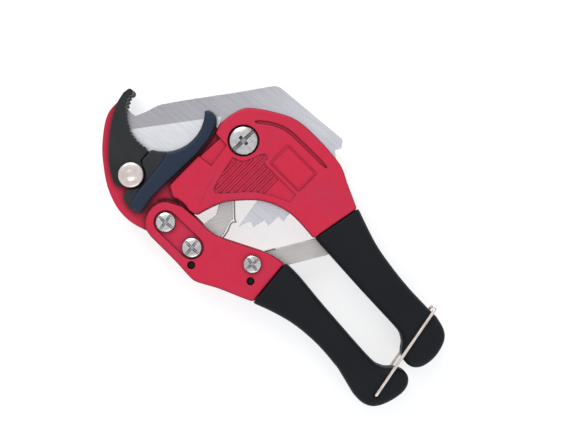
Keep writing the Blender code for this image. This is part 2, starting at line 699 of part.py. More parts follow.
make_frame_casting()
for face_name, face_side in (("front", 1), ("back", -1)):
    make_jaw_and_cradle(face_name, face_side)
make_rivet()
make_blade_pivot()
upper_grip = make_grip("upper_grip", upper_grip_outline(), UPPER_TANG, UPPER_MOUTH,
                       LINK_PATH_IN_GRIP)
make_pin("link_guide_pin", GUIDE_PIN, 1.5, TANG_HALF - 0.4, WIRE_STEEL)

handle_parts = [make_lower_handle()]
lower_grip = make_grip("lower_grip", lower_grip_outline(), LOWER_TANG, LOWER_MOUTH,
                       LINK_PATH_IN_HANDLE)
bore(lower_grip, BAIL_PIVOT, 1.15, high=MID - 5.0)
bore(lower_grip, BAIL_PIVOT, 1.15, low=MID + 5.0)
handle_parts.append(lower_grip)
recess_front, recess_back = MID + HANDLE_HALF - 1.0, MID - HANDLE_HALF + 1.0
handle_parts += make_fastener("handle_pivot", HANDLE_PIVOT, SCREW_HEAD, recess_front, recess_back,
                              8.0, 20)
handle_parts += make_fastener("pawl_pivot", PAWL_PIVOT, SCREW_HEAD, recess_front, recess_back,
                              8.0, 65)
handle_parts += make_fastener("link_pivot", LINK_PIVOT, LINK_HEAD, MID + HANDLE_HALF,
                              MID - HANDLE_HALF, 7.0, 10)
for face_name, face_side in (("front", 1), ("back", -1)):
    near, far = sorted((MID + face_side * (LINK_HALF + GAP), MID + face_side * (CHANNEL_HALF - GAP)))
    handle_parts.append(tube("link_spacer_" + face_name, LINK_PIVOT, 3.9, 2.7, near, far,
                             WARM_STEEL))
for pin_name, pin_center in STOP_PINS.items():
    handle_parts.append(make_pin(pin_name, pin_center, 1.6, HANDLE_HALF - 2.4, BLACK))

spring_on_pawl, spring_on_link = make_springs()
handle_parts.append(spring_on_link)
joint_empty("blade_swing", BLADE_PIVOT, [make_blade()])
joint_empty("handle_open", HANDLE_PIVOT, handle_parts)
joint_empty("pawl_swing", PAWL_PIVOT, [make_pawl(), spring_on_pawl])
joint_empty("link_swing", LINK_PIVOT, [make_link()])
joint_empty("bail_swing", BAIL_PIVOT, [make_bail()])
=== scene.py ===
"""Looks of a ratchet cutter for plastic pipe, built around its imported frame.

+X runs from the jaw to the ends of the grips, +Y from the lower handle towards the blade's back,
and +Z up through the tool's thickness. Sizes in the classes are in millimetres, and MM turns them
into metres. MID is the height of the blade's plane, and WELD the distance in metres under which
points become one.
"""
from __future__ import annotations

import json
import logging
import math
from collections.abc import Callable, Mapping, Sequence
from dataclasses import dataclass, field
from enum import Enum
from typing import Any

import bmesh
import bpy
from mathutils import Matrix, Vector

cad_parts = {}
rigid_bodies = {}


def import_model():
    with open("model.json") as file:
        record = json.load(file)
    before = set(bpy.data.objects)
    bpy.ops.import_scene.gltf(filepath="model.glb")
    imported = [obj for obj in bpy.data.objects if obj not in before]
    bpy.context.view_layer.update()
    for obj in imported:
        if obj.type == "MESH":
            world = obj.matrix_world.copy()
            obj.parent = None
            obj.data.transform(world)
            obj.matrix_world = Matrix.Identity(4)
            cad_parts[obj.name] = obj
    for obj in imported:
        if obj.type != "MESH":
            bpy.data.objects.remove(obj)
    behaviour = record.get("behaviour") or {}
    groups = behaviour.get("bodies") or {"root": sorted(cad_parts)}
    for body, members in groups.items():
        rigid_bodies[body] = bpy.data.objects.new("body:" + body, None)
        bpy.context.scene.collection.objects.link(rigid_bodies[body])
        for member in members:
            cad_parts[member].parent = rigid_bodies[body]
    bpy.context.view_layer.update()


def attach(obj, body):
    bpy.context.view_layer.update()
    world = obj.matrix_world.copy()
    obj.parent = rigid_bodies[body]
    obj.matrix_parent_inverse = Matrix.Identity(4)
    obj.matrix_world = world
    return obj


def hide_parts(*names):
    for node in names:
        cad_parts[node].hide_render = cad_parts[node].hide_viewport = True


LOG = logging.getLogger("pipe_cutter")
MM = 0.001
MID = 11.0
WELD = 0.000002

Color = tuple[float, float, float]
Point = tuple[float, float]
Place = tuple[float, float, float]

HANDLE_PIVOT: Point = (1.3, -56.3)
PAWL_PIVOT: Point = (19.5, -56.0)
LINK_PIVOT: Point = (46.7, -40.5)
BAIL_PIVOT: Point = (136.5, -43.2)


class Face(Enum):
    """The two broad faces of the tool."""

    FRONT = 1.0
    BACK = -1.0


class Slot(Enum):
    """The record's material slots."""

    RED = "red_enamel"
    BLACK = "black_casting"
    VINYL = "grip_vinyl"
    GROUND = "ground_steel"
    STAMPED = "stamped_steel"
    NICKEL = "nickel_plate"
    RIVET = "rivet_steel"
    WIRE = "spring_wire"


class Body(Enum):
    """The frame's moving bodies."""

    FRAME = "frame"
    BLADE = "blade"
    HANDLE = "lower_handle"
    PAWL = "pawl"
    LINK = "link"
    BAIL = "bail"


# ------------------------------------------------------------------------------- node trees

class Graph:
    """A node tree that is being wired up."""

    def __init__(self, tree: bpy.types.NodeTree) -> None:
        """Keep the tree that nodes are added to."""
        self.tree = tree

    def add(self, kind: str, inputs: Mapping[str | int, Any] | None = None,
            **settings: Any) -> bpy.types.Node:
        """Add a node.

        Args:
            kind: The node's type name.
            inputs: Values or sockets for its inputs, by name or index.
            **settings: The node's own options.

        Returns:
            The new node.
        """
        node = self.tree.nodes.new(kind)
        for name, value in settings.items():
            setattr(node, name, value)
        for key, value in (inputs or {}).items():
            if isinstance(value, bpy.types.NodeSocket):
                self.tree.links.new(value, node.inputs[key])
            else:
                node.inputs[key].default_value = value
        return node

    def math(self, operation: str, first: Any, second: Any = 0.0,
             clamp: bool = False) -> bpy.types.NodeSocket:
        """Combine two numbers.

        Args:
            operation: The Math node's operation.
            first: The first number or socket.
            second: The second number or socket.
            clamp: Whether the result stays between 0 and 1.

        Returns:
            The result's socket.
        """
        return self.add("ShaderNodeMath", {0: first, 1: second}, operation=operation,
                        use_clamp=clamp).outputs[0]

    def mix(self, factor: Any, first: Any, second: Any) -> bpy.types.NodeSocket:
        """Mix two colours.

        Args:
            factor: How much of the second colour there is.
            first: The colour or socket at 0.
            second: The colour or socket at 1.

        Returns:
            The mixed colour's socket.
        """
        return self.add("ShaderNodeMix", {0: factor, 6: first, 7: second},
                        data_type="RGBA").outputs[2]

    def spread(self, value: Any, low: Any, high: Any, bottom: Any = 0.0,
               top: Any = 1.0, smooth: bool = False) -> bpy.types.NodeSocket:
        """Map a range of numbers onto another.

        Args:
            value: The number's socket.
            low: The input that gives the bottom.
            high: The input that gives the top.
            bottom: The result at low.
            top: The result at high.
            smooth: Whether the change eases in and out.

        Returns:
            The result's socket.
        """
        names = ("Value", "From Min", "From Max", "To Min", "To Max")
        return self.add("ShaderNodeMapRange", dict(zip(names, (value, low, high, bottom, top))),
                        interpolation_type="SMOOTHSTEP" if smooth else "LINEAR").outputs["Result"]


class Group(Graph):
    """A node group with named inputs and outputs."""

    def __init__(self, name: str, kind: str, inputs: Mapping[str, tuple[str, Any]],
                 outputs: Mapping[str, str]) -> None:
        """Make the group and its sockets.

        Args:
            name: The group's name.
            kind: ShaderNodeTree or GeometryNodeTree.
            inputs: Socket type and default value, by name.
            outputs: Socket type, by name.
        """
        super().__init__(bpy.data.node_groups.new(name, kind))
        for label, (socket, value) in inputs.items():
            made = self.tree.interface.new_socket(label, in_out="INPUT", socket_type=socket)
            if value is not None:
                made.default_value = value
        for label, socket in outputs.items():
            self.tree.interface.new_socket(label, in_out="OUTPUT", socket_type=socket)
        self.entry = self.add("NodeGroupInput").outputs
        self.exit = self.add("NodeGroupOutput").inputs

    def give(self, **results: bpy.types.NodeSocket) -> Group:
        """Wire the group's outputs, whose names are given in lower case, and return the group."""
        for label, socket in results.items():
            self.tree.links.new(socket, self.exit[label.capitalize()])
        return self


FLOAT, VECTOR = "NodeSocketFloat", "NodeSocketVector"


class Effects:
    """The shader groups that several finishes share, each built once."""

    def __init__(self) -> None:
        """Build every group."""
        self.grain = self._grain()
        self.clouds = self._clouds()
        self.wear_and_shade = self._wear_and_shade()
        self.brushing = self._brushing()
        self.dust = self._dust()
        self.cavity = self._cavity()
        self.rim = self._rim()

    @staticmethod
    def _grain() -> bpy.types.NodeTree:
        """Fine unevenness: a soft orange peel with a finer tooth on it."""
        g = Group("fine_grain", "ShaderNodeTree",
                  {"Vector": (VECTOR, None), "Scale": (FLOAT, 900.0), "Tooth": (FLOAT, 0.4)},
                  {"Height": FLOAT})
        soft = g.add("ShaderNodeTexNoise", {"Vector": g.entry["Vector"], "Scale": g.entry["Scale"],
                                            "Detail": 2.0})
        sharp = g.add("ShaderNodeTexNoise", {
            "Vector": g.entry["Vector"], "Scale": g.math("MULTIPLY", g.entry["Scale"], 4.0),
            "Detail": 1.0})
        tooth = g.math("MULTIPLY", sharp.outputs["Fac"], g.entry["Tooth"])
        return g.give(height=g.math("ADD", soft.outputs["Fac"], tooth)).tree

    @staticmethod
    def _clouds() -> bpy.types.NodeTree:
        """Broad, soft patches."""
        g = Group("clouding", "ShaderNodeTree",
                  {"Vector": (VECTOR, None), "Scale": (FLOAT, 60.0), "Low": (FLOAT, 0.4),
                   "High": (FLOAT, 0.7)}, {"Mask": FLOAT})
        noise = g.add("ShaderNodeTexNoise", {"Vector": g.entry["Vector"], "Scale": g.entry["Scale"],
                                             "Detail": 3.0, "Roughness": 0.55})
        return g.give(mask=g.spread(noise.outputs["Fac"], g.entry["Low"], g.entry["High"],
                                    smooth=True)).tree

    @staticmethod
    def _wear_and_shade() -> bpy.types.NodeTree:
        """Rounded corners, under a broken mask that the finishes colour as rubbed edges and, on the
        red enamel, as painted shade; and the normal of the softly rounded corner.
        """
        g = Group("edge_wear_and_shade", "ShaderNodeTree",
                  {"Vector": (VECTOR, None), "Radius": (FLOAT, 0.0004), "Amount": (FLOAT, 0.5)},
                  {"Mask": FLOAT, "Normal": VECTOR})
        rounded = g.add("ShaderNodeBevel", {"Radius": g.entry["Radius"]}, samples=4)
        flat = g.add("ShaderNodeNewGeometry").outputs["Normal"]
        facing = g.add("ShaderNodeVectorMath", {0: rounded.outputs[0], 1: flat},
                       operation="DOT_PRODUCT").outputs["Value"]
        turned = g.spread(facing, 0.985, 0.8)
        broken = g.add("ShaderNodeTexNoise", {"Vector": g.entry["Vector"], "Scale": 420.0,
                                              "Detail": 3.0}).outputs["Fac"]
        mask = g.math("MULTIPLY", g.math("MULTIPLY", turned, g.spread(broken, 0.38, 0.62)),
                      g.entry["Amount"], clamp=True)
        return g.give(mask=mask, normal=rounded.outputs[0]).tree

    @staticmethod
    def _brushing() -> bpy.types.NodeTree:
        """Fine straight scratches, long in one direction."""
        g = Group("brushing", "ShaderNodeTree",
                  {"Vector": (VECTOR, None), "Turn": (VECTOR, (0.0, 0.0, 0.0)),
                   "Scale": (FLOAT, 2200.0)}, {"Streak": FLOAT})
        turned = g.add("ShaderNodeMapping", {"Vector": g.entry["Vector"],
                                             "Rotation": g.entry["Turn"]}, vector_type="TEXTURE")
        stretched = g.add("ShaderNodeMapping", {"Vector": turned.outputs[0],
                                                "Scale": (0.02, 1.0, 1.0)})
        lines = g.add("ShaderNodeTexNoise", {"Vector": stretched.outputs[0],
                                             "Scale": g.entry["Scale"], "Detail": 2.0})
        return g.give(streak=lines.outputs["Fac"]).tree

    @staticmethod
    def _dust() -> bpy.types.NodeTree:
        """A thin film that settles on what faces up."""
        g = Group("dust", "ShaderNodeTree",
                  {"Vector": (VECTOR, None), "Amount": (FLOAT, 0.1)}, {"Mask": FLOAT})
        normal = g.add("ShaderNodeTexCoord").outputs["Normal"]
        up = g.add("ShaderNodeSeparateXYZ", {0: normal}).outputs["Z"]
        patches = g.add("ShaderNodeTexNoise", {"Vector": g.entry["Vector"], "Scale": 150.0,
                                               "Detail": 4.0, "Roughness": 0.65}).outputs["Fac"]
        film = g.math("MULTIPLY", g.spread(up, 0.2, 0.95), g.spread(patches, 0.3, 0.75))
        return g.give(mask=g.math("MULTIPLY", film, g.entry["Amount"], clamp=True)).tree

    @staticmethod
    def _rim() -> bpy.types.NodeTree:
        """How far a surface has turned away from the tool's broad faces."""
        g = Group("rim_shade", "ShaderNodeTree", {"Amount": (FLOAT, 0.5)}, {"Mask": FLOAT})
        normal = g.add("ShaderNodeTexCoord").outputs["Normal"]
        level = g.math("ABSOLUTE", g.add("ShaderNodeSeparateXYZ", {0: normal}).outputs["Z"])
        turned = g.spread(level, 0.97, 0.55, smooth=True)
        return g.give(mask=g.math("MULTIPLY", turned, g.entry["Amount"], clamp=True)).tree

    @staticmethod
    def _cavity() -> bpy.types.NodeTree:
        """Painted shade in grooves, recesses and inside corners, from an ambient-occlusion mask."""
        g = Group("cavity", "ShaderNodeTree",
                  {"Reach": (FLOAT, 0.0015), "Amount": (FLOAT, 0.5)}, {"Mask": FLOAT})
        open_share = g.add("ShaderNodeAmbientOcclusion", {"Distance": g.entry["Reach"]},
                           samples=8).outputs["AO"]
        closed = g.spread(open_share, 0.95, 0.45)
        return g.give(mask=g.math("MULTIPLY", closed, g.entry["Amount"], clamp=True)).tree


@dataclass(frozen=True)
class Brush:
    """Straight brushing in a metal: its direction in degrees, its scale, depth and contrast."""

    direction: float
    scale: float = 2200.0
    depth: float = 0.00001
    contrast: float = 0.12


@dataclass(frozen=True)
class Finish:
    """A surface finish and the shader that draws it."""

    name: str
    color: Color
    cloud: Color
    # The colour of the corners: the rubbed edge on most finishes, and on the red enamel a darker
    # red, painted shade along the edges.
    wear_and_shade_color: Color
    roughness: tuple[float, float]
    metallic: float = 0.0
    specular: float = 0.5
    grain_scale: float = 900.0
    grain_depth: float = 0.00002
    tooth: float = 0.4
    cloud_scale: float = 60.0
    wear_and_shade_radius: float = 0.0004
    wear_and_shade: float = 0.4
    dust: float = 0.05
    dust_color: Color = (0.45, 0.42, 0.39)
    coat: float = 0.0
    coat_roughness: float = 0.15
    sheen: float = 0.0
    sheen_tint: Color = (0.3, 0.4, 0.6)
    # Painted shade: surfaces that turn away from the broad faces, the sides and rounded edges, are
    # darkened towards this colour by this amount.
    rim: float = 0.0
    rim_shade_color: Color = (0.20, 0.004, 0.022)
    # Painted shade: an ambient-occlusion mask darkens grooves, recesses and inside corners towards
    # this colour, by this amount and within this reach.
    cavity: float = 0.0
    cavity_shade_reach: float = 0.002
    cavity_shade_color: Color = (0.10, 0.004, 0.014)
    brush: Brush | None = None
    streak_range: tuple[float, float] = (0.3, 0.7)
    streak_color: Color = (0.05, 0.05, 0.05)
    streak_roughness: float = 0.06
    dust_roughness: float = 0.3
    sheen_roughness: float = 0.4

    def build(self, effects: Effects) -> bpy.types.Material:
        """Make the material.

        Args:
            effects: The shared shader groups.

        Returns:
            The new material.
        """
        made = bpy.data.materials.new(self.name)
        made.use_nodes = True
        made.node_tree.nodes.clear()
        g = Graph(made.node_tree)
        place = g.add("ShaderNodeTexCoord").outputs["Object"]
        clouds = g.add("ShaderNodeGroup", {}, node_tree=effects.clouds)
        wear_and_shade = g.add("ShaderNodeGroup", {}, node_tree=effects.wear_and_shade)
        dust = g.add("ShaderNodeGroup", {}, node_tree=effects.dust)
        grain = g.add("ShaderNodeGroup", {}, node_tree=effects.grain)
        for node in (clouds, wear_and_shade, dust, grain):
            g.tree.links.new(place, node.inputs["Vector"])
        for node, key, value in ((clouds, "Scale", self.cloud_scale),
                                 (wear_and_shade, "Radius", self.wear_and_shade_radius), (wear_and_shade, "Amount", self.wear_and_shade),
                                 (dust, "Amount", self.dust), (grain, "Scale", self.grain_scale),
                                 (grain, "Tooth", self.tooth)):
            node.inputs[key].default_value = value
        color = self._base_color(g, place, clouds.outputs["Mask"])
        low, high = self.roughness
        rough = g.spread(grain.outputs["Height"], 0.4, 1.0, low, high)
        height, depth = grain.outputs["Height"], self.grain_depth
        if self.brush:
            brushing = g.add("ShaderNodeGroup", {
                "Vector": place, "Turn": (0.0, 0.0, math.radians(self.brush.direction)),
                "Scale": self.brush.scale}, node_tree=effects.brushing)
            streak = brushing.outputs["Streak"]
            dark = g.spread(streak, *self.streak_range, self.brush.contrast, 0.0)
            color = g.mix(dark, color, (*self.streak_color, 1.0))
            uneven = g.spread(streak, *self.streak_range, -self.streak_roughness,
                              self.streak_roughness)
            rough = g.math("ADD", rough, uneven, clamp=True)
            height, depth = streak, self.brush.depth
        # The corners take their colour: rubbed edges, and painted shade on the red enamel.
        color = g.mix(wear_and_shade.outputs["Mask"], color, (*self.wear_and_shade_color, 1.0))
        # Painted shade: the sides are darkened.
        if self.rim:
            rim = g.add("ShaderNodeGroup", {"Amount": self.rim}, node_tree=effects.rim)
            color = g.mix(rim.outputs["Mask"], color, (*self.rim_shade_color, 1.0))
        # Painted shade: grooves, recesses and inside corners are darkened.
        if self.cavity:
            cavity = g.add("ShaderNodeGroup", {"Reach": self.cavity_shade_reach, "Amount": self.cavity},
                           node_tree=effects.cavity)
            color = g.mix(cavity.outputs["Mask"], color, (*self.cavity_shade_color, 1.0))
        color = g.mix(dust.outputs["Mask"], color, (*self.dust_color, 1.0))
        film = g.math("MULTIPLY", dust.outputs["Mask"], self.dust_roughness)
        rough = g.math("ADD", rough, film, clamp=True)
        bump = g.add("ShaderNodeBump", {"Strength": 1.0, "Distance": depth, "Height": height,
                                        "Normal": wear_and_shade.outputs["Normal"]})
        shader = g.add("ShaderNodeBsdfPrincipled", {
            "Base Color": color, "Roughness": rough, "Metallic": self.metallic,
            "Specular IOR Level": self.specular, "Normal": bump.outputs[0],
            "Coat Weight": self.coat, "Coat Roughness": self.coat_roughness,
            "Sheen Weight": self.sheen, "Sheen Tint": (*self.sheen_tint, 1.0),
            "Sheen Roughness": self.sheen_roughness})
        g.add("ShaderNodeOutputMaterial", {"Surface": shader.outputs[0]})
        return made

    def _base_color(self, g: Graph, place: bpy.types.NodeSocket,
                    clouds: bpy.types.NodeSocket) -> bpy.types.NodeSocket:
        """Colour the clean surface.

        Args:
            g: The material's tree.
            place: The point on the piece; not used here.
            clouds: The mask of its broad patches.

        Returns:
            The colour's socket.
        """
        return g.mix(clouds, (*self.color, 1.0), (*self.cloud, 1.0))


@dataclass(frozen=True)
class GroundBladeFinish(Finish):
    """Ground steel: brighter past the line where its long bevel starts, and towards its tail."""

    line: tuple[Point, Point] = ((-43.4, -34.5), (-21.7, -5.6))
    seat: Point = (-37.9, -17.0)
    ground_radius: float = 27.5
    bright: Color = (1.0, 0.99, 1.0)
    blend: float = 0.5
    fade: tuple[float, float] = (-34.0, 18.0)

    def _base_color(self, g: Graph, place: bpy.types.NodeSocket,
                    clouds: bpy.types.NodeSocket) -> bpy.types.NodeSocket:
        """Colour the flat and the ground bevel.

        Args:
            g: The material's tree.
            place: The point on the piece.
            clouds: The mask of its broad patches.

        Returns:
            The colour's socket.
        """
        first, last = (Vector(point) * MM for point in self.line)
        along = (last - first).normalized()
        across = Vector((along.y, -along.x, 0.0))
        reach = g.add("ShaderNodeVectorMath", {0: place, 1: across},
                      operation="DOT_PRODUCT").outputs["Value"]
        start = across.dot(first.to_3d())
        half = self.blend * MM / 2
        past = g.spread(reach, start - half, start + half, smooth=True)
        level = g.add("ShaderNodeVectorMath", {0: place, 1: (1.0, 1.0, 0.0)}, operation="MULTIPLY")
        away = g.add("ShaderNodeVectorMath", {
            0: level.outputs[0], 1: (self.seat[0] * MM, self.seat[1] * MM, 0.0)},
            operation="DISTANCE").outputs["Value"]
        edge = self.ground_radius * MM
        near = g.spread(away, edge - half, edge + half, 1.0, 0.0, smooth=True)
        along_tool = g.add("ShaderNodeSeparateXYZ", {0: place}).outputs["X"]
        light = g.math("ADD", g.spread(along_tool, *(x * MM for x in self.fade), 0.0, 0.8),
                       g.math("MULTIPLY", clouds, 0.2), clamp=True)
        flat = super()._base_color(g, place, light)
        return g.mix(g.math("MULTIPLY", past, near), flat, (*self.bright, 1.0))


@dataclass(frozen=True)
class CradleFinish(Finish):
    """Black cast paint with a painted navy reflection on the raised bar."""

    # The raised bar lies between these heights from the blade's plane; on it a navy reflection is
    # painted.
    bar: tuple[float, float] = (8.1, 9.0)
    painted_reflection_color: Color = (0.009, 0.020, 0.042)

    def _base_color(self, g: Graph, place: bpy.types.NodeSocket,
                    clouds: bpy.types.NodeSocket) -> bpy.types.NodeSocket:
        """Colour the web, and paint a navy reflection on the bar.

        Args:
            g: The material's tree.
            place: The point on the piece.
            clouds: The mask of its broad patches.

        Returns:
            The colour's socket.
        """
        height = g.add("ShaderNodeSeparateXYZ", {0: place}).outputs["Z"]
        raised = g.math("ABSOLUTE", g.math("SUBTRACT", height, MID * MM))
        on_bar = g.spread(raised, *(level * MM for level in self.bar), smooth=True)
        # Painted reflection: the bar is tinted navy.
        return g.mix(on_bar, super()._base_color(g, place, clouds), (*self.painted_reflection_color, 1.0))


CRADLE_LOOK = CradleFinish(
    "cast_paint_painted_reflection", (0.018, 0.019, 0.022), (0.026, 0.027, 0.03), (0.09, 0.09, 0.10),
    (0.40, 0.54), specular=0.3, grain_scale=1600.0, grain_depth=0.00003, tooth=0.6,
    cloud_scale=70.0, wear_and_shade_radius=0.0004, wear_and_shade=0.25, dust=0.0, cavity=0.6,
    cavity_shade_color=(0.003, 0.003, 0.004))

FINISHES: dict[Slot, Finish] = {
    # The red enamel's corner colour is a darker red, painted shade along the edges; its side and
    # hollow amounts paint shade too.
    Slot.RED: Finish(
        "red_enamel_coat", (0.58, 0.013, 0.048), (0.53, 0.017, 0.056), (0.27, 0.008, 0.03),
        (0.38, 0.52), specular=0.22, rim=0.85, cavity=0.85, cavity_shade_reach=0.003,
        grain_scale=1300.0, grain_depth=0.000035, tooth=0.25, cloud_scale=45.0,
        wear_and_shade_radius=0.0009, wear_and_shade=0.75, dust=0.02, coat=0.06, coat_roughness=0.25),
    Slot.BLACK: Finish(
        "black_cast_paint", (0.011, 0.013, 0.014), (0.017, 0.019, 0.020), (0.07, 0.07, 0.07),
        (0.42, 0.58), specular=0.3, grain_scale=1600.0, grain_depth=0.00003, tooth=0.6,
        cloud_scale=70.0, wear_and_shade_radius=0.0004, wear_and_shade=0.3, dust=0.0, sheen=0.05, cavity=0.6,
        cavity_shade_color=(0.002, 0.002, 0.003)),
    Slot.VINYL: Finish(
        "dipped_vinyl", (0.005, 0.0055, 0.0075), (0.0065, 0.007, 0.009), (0.02, 0.02, 0.024),
        (0.48, 0.62), specular=0.2, grain_scale=2400.0, grain_depth=0.00003, tooth=0.8,
        cloud_scale=50.0, wear_and_shade_radius=0.0008, wear_and_shade=0.15, dust=0.0, sheen=0.05),
    Slot.GROUND: GroundBladeFinish(
        "ground_blade_steel", (0.54, 0.53, 0.545), (0.83, 0.82, 0.85), (0.8, 0.8, 0.8),
        (0.24, 0.36), metallic=1.0, cloud_scale=24.0, wear_and_shade_radius=0.0003, wear_and_shade=0.5, dust=0.02,
        brush=Brush(8.0, 2600.0, 0.000006, 0.16)),
    Slot.STAMPED: Finish(
        "stamped_warm_steel", (0.66, 0.625, 0.59), (0.58, 0.545, 0.51), (0.7, 0.68, 0.64),
        (0.34, 0.48), metallic=1.0, cloud_scale=90.0, wear_and_shade_radius=0.0003, wear_and_shade=0.4, dust=0.04,
        brush=Brush(58.9, 1800.0, 0.000008, 0.14)),
    # The screws' recesses and the corners round them take painted shade.
    Slot.NICKEL: Finish(
        "bright_nickel_plate", (0.74, 0.72, 0.71), (0.56, 0.53, 0.51), (0.85, 0.84, 0.82),
        (0.13, 0.24), metallic=1.0, grain_scale=1500.0, grain_depth=0.000012, cloud_scale=260.0,
        wear_and_shade_radius=0.0002, wear_and_shade=0.3, dust=0.02, cavity=0.97, cavity_shade_reach=0.0022,
        cavity_shade_color=(0.015, 0.015, 0.02)),
    Slot.RIVET: Finish(
        "formed_rivet_steel", (0.82, 0.72, 0.66), (0.70, 0.61, 0.55), (0.90, 0.82, 0.76),
        (0.30, 0.42), metallic=1.0, grain_scale=1300.0, grain_depth=0.000025, cloud_scale=220.0,
        wear_and_shade_radius=0.0003, wear_and_shade=0.5, dust=0.02),
    Slot.WIRE: Finish(
        "spring_wire_steel", (0.34, 0.32, 0.31), (0.27, 0.25, 0.24), (0.6, 0.58, 0.56),
        (0.30, 0.42), metallic=1.0, grain_scale=2500.0, grain_depth=0.00001, cloud_scale=200.0,
        wear_and_shade_radius=0.0002, wear_and_shade=0.2, dust=0.0),
}


# ---------------------------------------------------------------------------------- meshes

def polar(center: Point, radius: float, angle: float) -> Point:
    """A point at a radius and an angle in degrees."""
    turn = math.radians(angle)
    return (center[0] + radius * math.cos(turn), center[1] + radius * math.sin(turn))


def smooth_path(points: Sequence[Sequence[float]], steps: int = 4) -> list[tuple[float, ...]]:
    """Run a Catmull-Rom curve through points.

    Args:
        points: The points, in any dimension.
        steps: How many pieces each stretch is cut into.

    Returns:
        The points of the curve.
    """
    ends = [points[0], *points, points[-1]]
    path: list[tuple[float, ...]] = []
    for before, first, last, after in zip(ends, ends[1:], ends[2:], ends[3:]):
        for step in range(steps):
            t = step / steps
            path.append(tuple(
                0.5 * (2 * b + (c - a) * t + (2 * a - 5 * b + 4 * c - d) * t ** 2
                       + (3 * b - a - 3 * c + d) * t ** 3)
                for a, b, c, d in zip(before, first, last, after)))
    return [*path, tuple(points[-1])]


def rounded_corners(points: Sequence[Place], radius: float, steps: int = 6) -> list[Place]:
    """Round the corners of a path in space.

    Args:
        points: The path's corners.
        radius: How far before each corner its curve starts.
        steps: How many pieces each curve is cut into.

    Returns:
        The points of the path.
    """
    path = [tuple(points[0])]
    for before, corner, after in zip(points, points[1:], points[2:]):
        here = Vector(corner)
        first = here + (Vector(before) - here).normalized() * radius
        last = here + (Vector(after) - here).normalized() * radius
        for step in range(steps + 1):
            t = step / steps
            path.append(tuple(first.lerp(here, t).lerp(here.lerp(last, t), t)))
    return [*path, tuple(points[-1])]


def link_object(name: str, mesh: bpy.types.Mesh) -> bpy.types.Object:
    """Put a mesh into the scene under a name."""
    thing = bpy.data.objects.new(name, mesh)
    bpy.context.scene.collection.objects.link(thing)
    return thing


def from_bmesh(name: str, shape: bmesh.types.BMesh) -> bpy.types.Object:
    """Turn a finished bmesh into an object in the scene, and free it."""
    mesh = bpy.data.meshes.new(name)
    shape.to_mesh(mesh)
    shape.free()
    return link_object(name, mesh)


def path_object(name: str, paths: Sequence[Sequence[Sequence[float]]],
                closed: bool = False) -> bpy.types.Object:
    """Make a mesh of bare edges along paths in millimetres.

    Args:
        name: The object's name.
        paths: Each path's points.
        closed: Whether each path's end joins its start.

    Returns:
        The new object.
    """
    points: list[Vector] = []
    edges: list[tuple[int, int]] = []
    for path in paths:
        start = len(points)
        points += [Vector(point) * MM for point in path]
        edges += [(i, i + 1) for i in range(start, len(points) - 1)]
        if closed:
            edges.append((len(points) - 1, start))
    mesh = bpy.data.meshes.new(name)
    mesh.from_pydata(points, edges, [])
    return link_object(name, mesh)


def prism(name: str, outline: Sequence[Point], low: float, high: float) -> bpy.types.Object:
    """Extrude a flat outline.

    Args:
        name: The object's name.
        outline: The outline in plan, in millimetres.
        low: The lower face's height.
        high: The upper face's height.

    Returns:
        The new object, closed, with its faces outwards.
    """
    shape = bmesh.new()
    face = shape.faces.new([shape.verts.new((x * MM, y * MM, low * MM)) for x, y in outline])
    raised = bmesh.ops.extrude_face_region(shape, geom=[face])["geom"]
    bmesh.ops.translate(shape, vec=(0, 0, (high - low) * MM),
                        verts=[v for v in raised if isinstance(v, bmesh.types.BMVert)])
    bmesh.ops.recalc_face_normals(shape, faces=shape.faces)
    return from_bmesh(name, shape)


def lathe(name: str, center: Point, profile: Sequence[Point], count: int = 64) -> bpy.types.Object:
    """Turn a profile about a vertical axis.

    Args:
        name: The object's name.
        center: The axis, in plan.
        profile: Radius and height from the top's middle to the bottom's middle.
        count: How many sides the round has.

    Returns:
        The new object, closed at both poles.
    """
    shape = bmesh.new()
    rings = []
    for radius, height in profile:
        if radius == 0:
            rings.append([shape.verts.new((center[0] * MM, center[1] * MM, height * MM))])
        else:
            turns = (polar(center, radius, 360 * i / count) for i in range(count))
            rings.append([shape.verts.new((x * MM, y * MM, height * MM)) for x, y in turns])
    for upper, lower in zip(rings, rings[1:]):
        for i in range(count):
            corners = [upper[i % len(upper)], upper[(i + 1) % len(upper)],
                       lower[(i + 1) % len(lower)], lower[i % len(lower)]]
            shape.faces.new(list(dict.fromkeys(corners)))
    bmesh.ops.recalc_face_normals(shape, faces=shape.faces)
    return from_bmesh(name, shape)


def merged_copy(node: str, name: str, dissolve: float = 0.5) -> bpy.types.Object:
    """Copy a CAD node as one welded mesh with its flat faces whole.

    Args:
        node: The CAD node.
        name: The copy's name.
        dissolve: The angle in degrees under which neighbouring faces become one.

    Returns:
        The copy.
    """
    shape = bmesh.new()
    shape.from_mesh(bpy.data.objects[node].data)
    bmesh.ops.remove_doubles(shape, verts=shape.verts, dist=WELD)
    bmesh.ops.dissolve_limit(shape, angle_limit=math.radians(dissolve), verts=shape.verts,
                             edges=shape.edges)
    bmesh.ops.recalc_face_normals(shape, faces=shape.faces)
    for layer in list(shape.loops.layers.float_vector):
        shape.loops.layers.float_vector.remove(layer)
    return from_bmesh(name, shape)


def bake(thing: bpy.types.Object) -> bpy.types.Object:
    """Turn an object's modifiers into its mesh."""
    graph = bpy.context.evaluated_depsgraph_get()
    mesh = bpy.data.meshes.new_from_object(thing.evaluated_get(graph))
    mesh.name = thing.name
    thing.modifiers.clear()
    thing.data = mesh
    return thing


def carve(thing: bpy.types.Object, cutters: Sequence[bpy.types.Object]) -> bpy.types.Object:
    """Cut solids out of a piece, one after the other, and remove them."""
    for cutter in cutters:
        boolean = thing.modifiers.new(cutter.name, "BOOLEAN")
        boolean.operation = "DIFFERENCE"
        boolean.object = cutter
        boolean.solver = "EXACT"
    bake(thing)
    for cutter in cutters:
        bpy.data.objects.remove(cutter)
    return thing


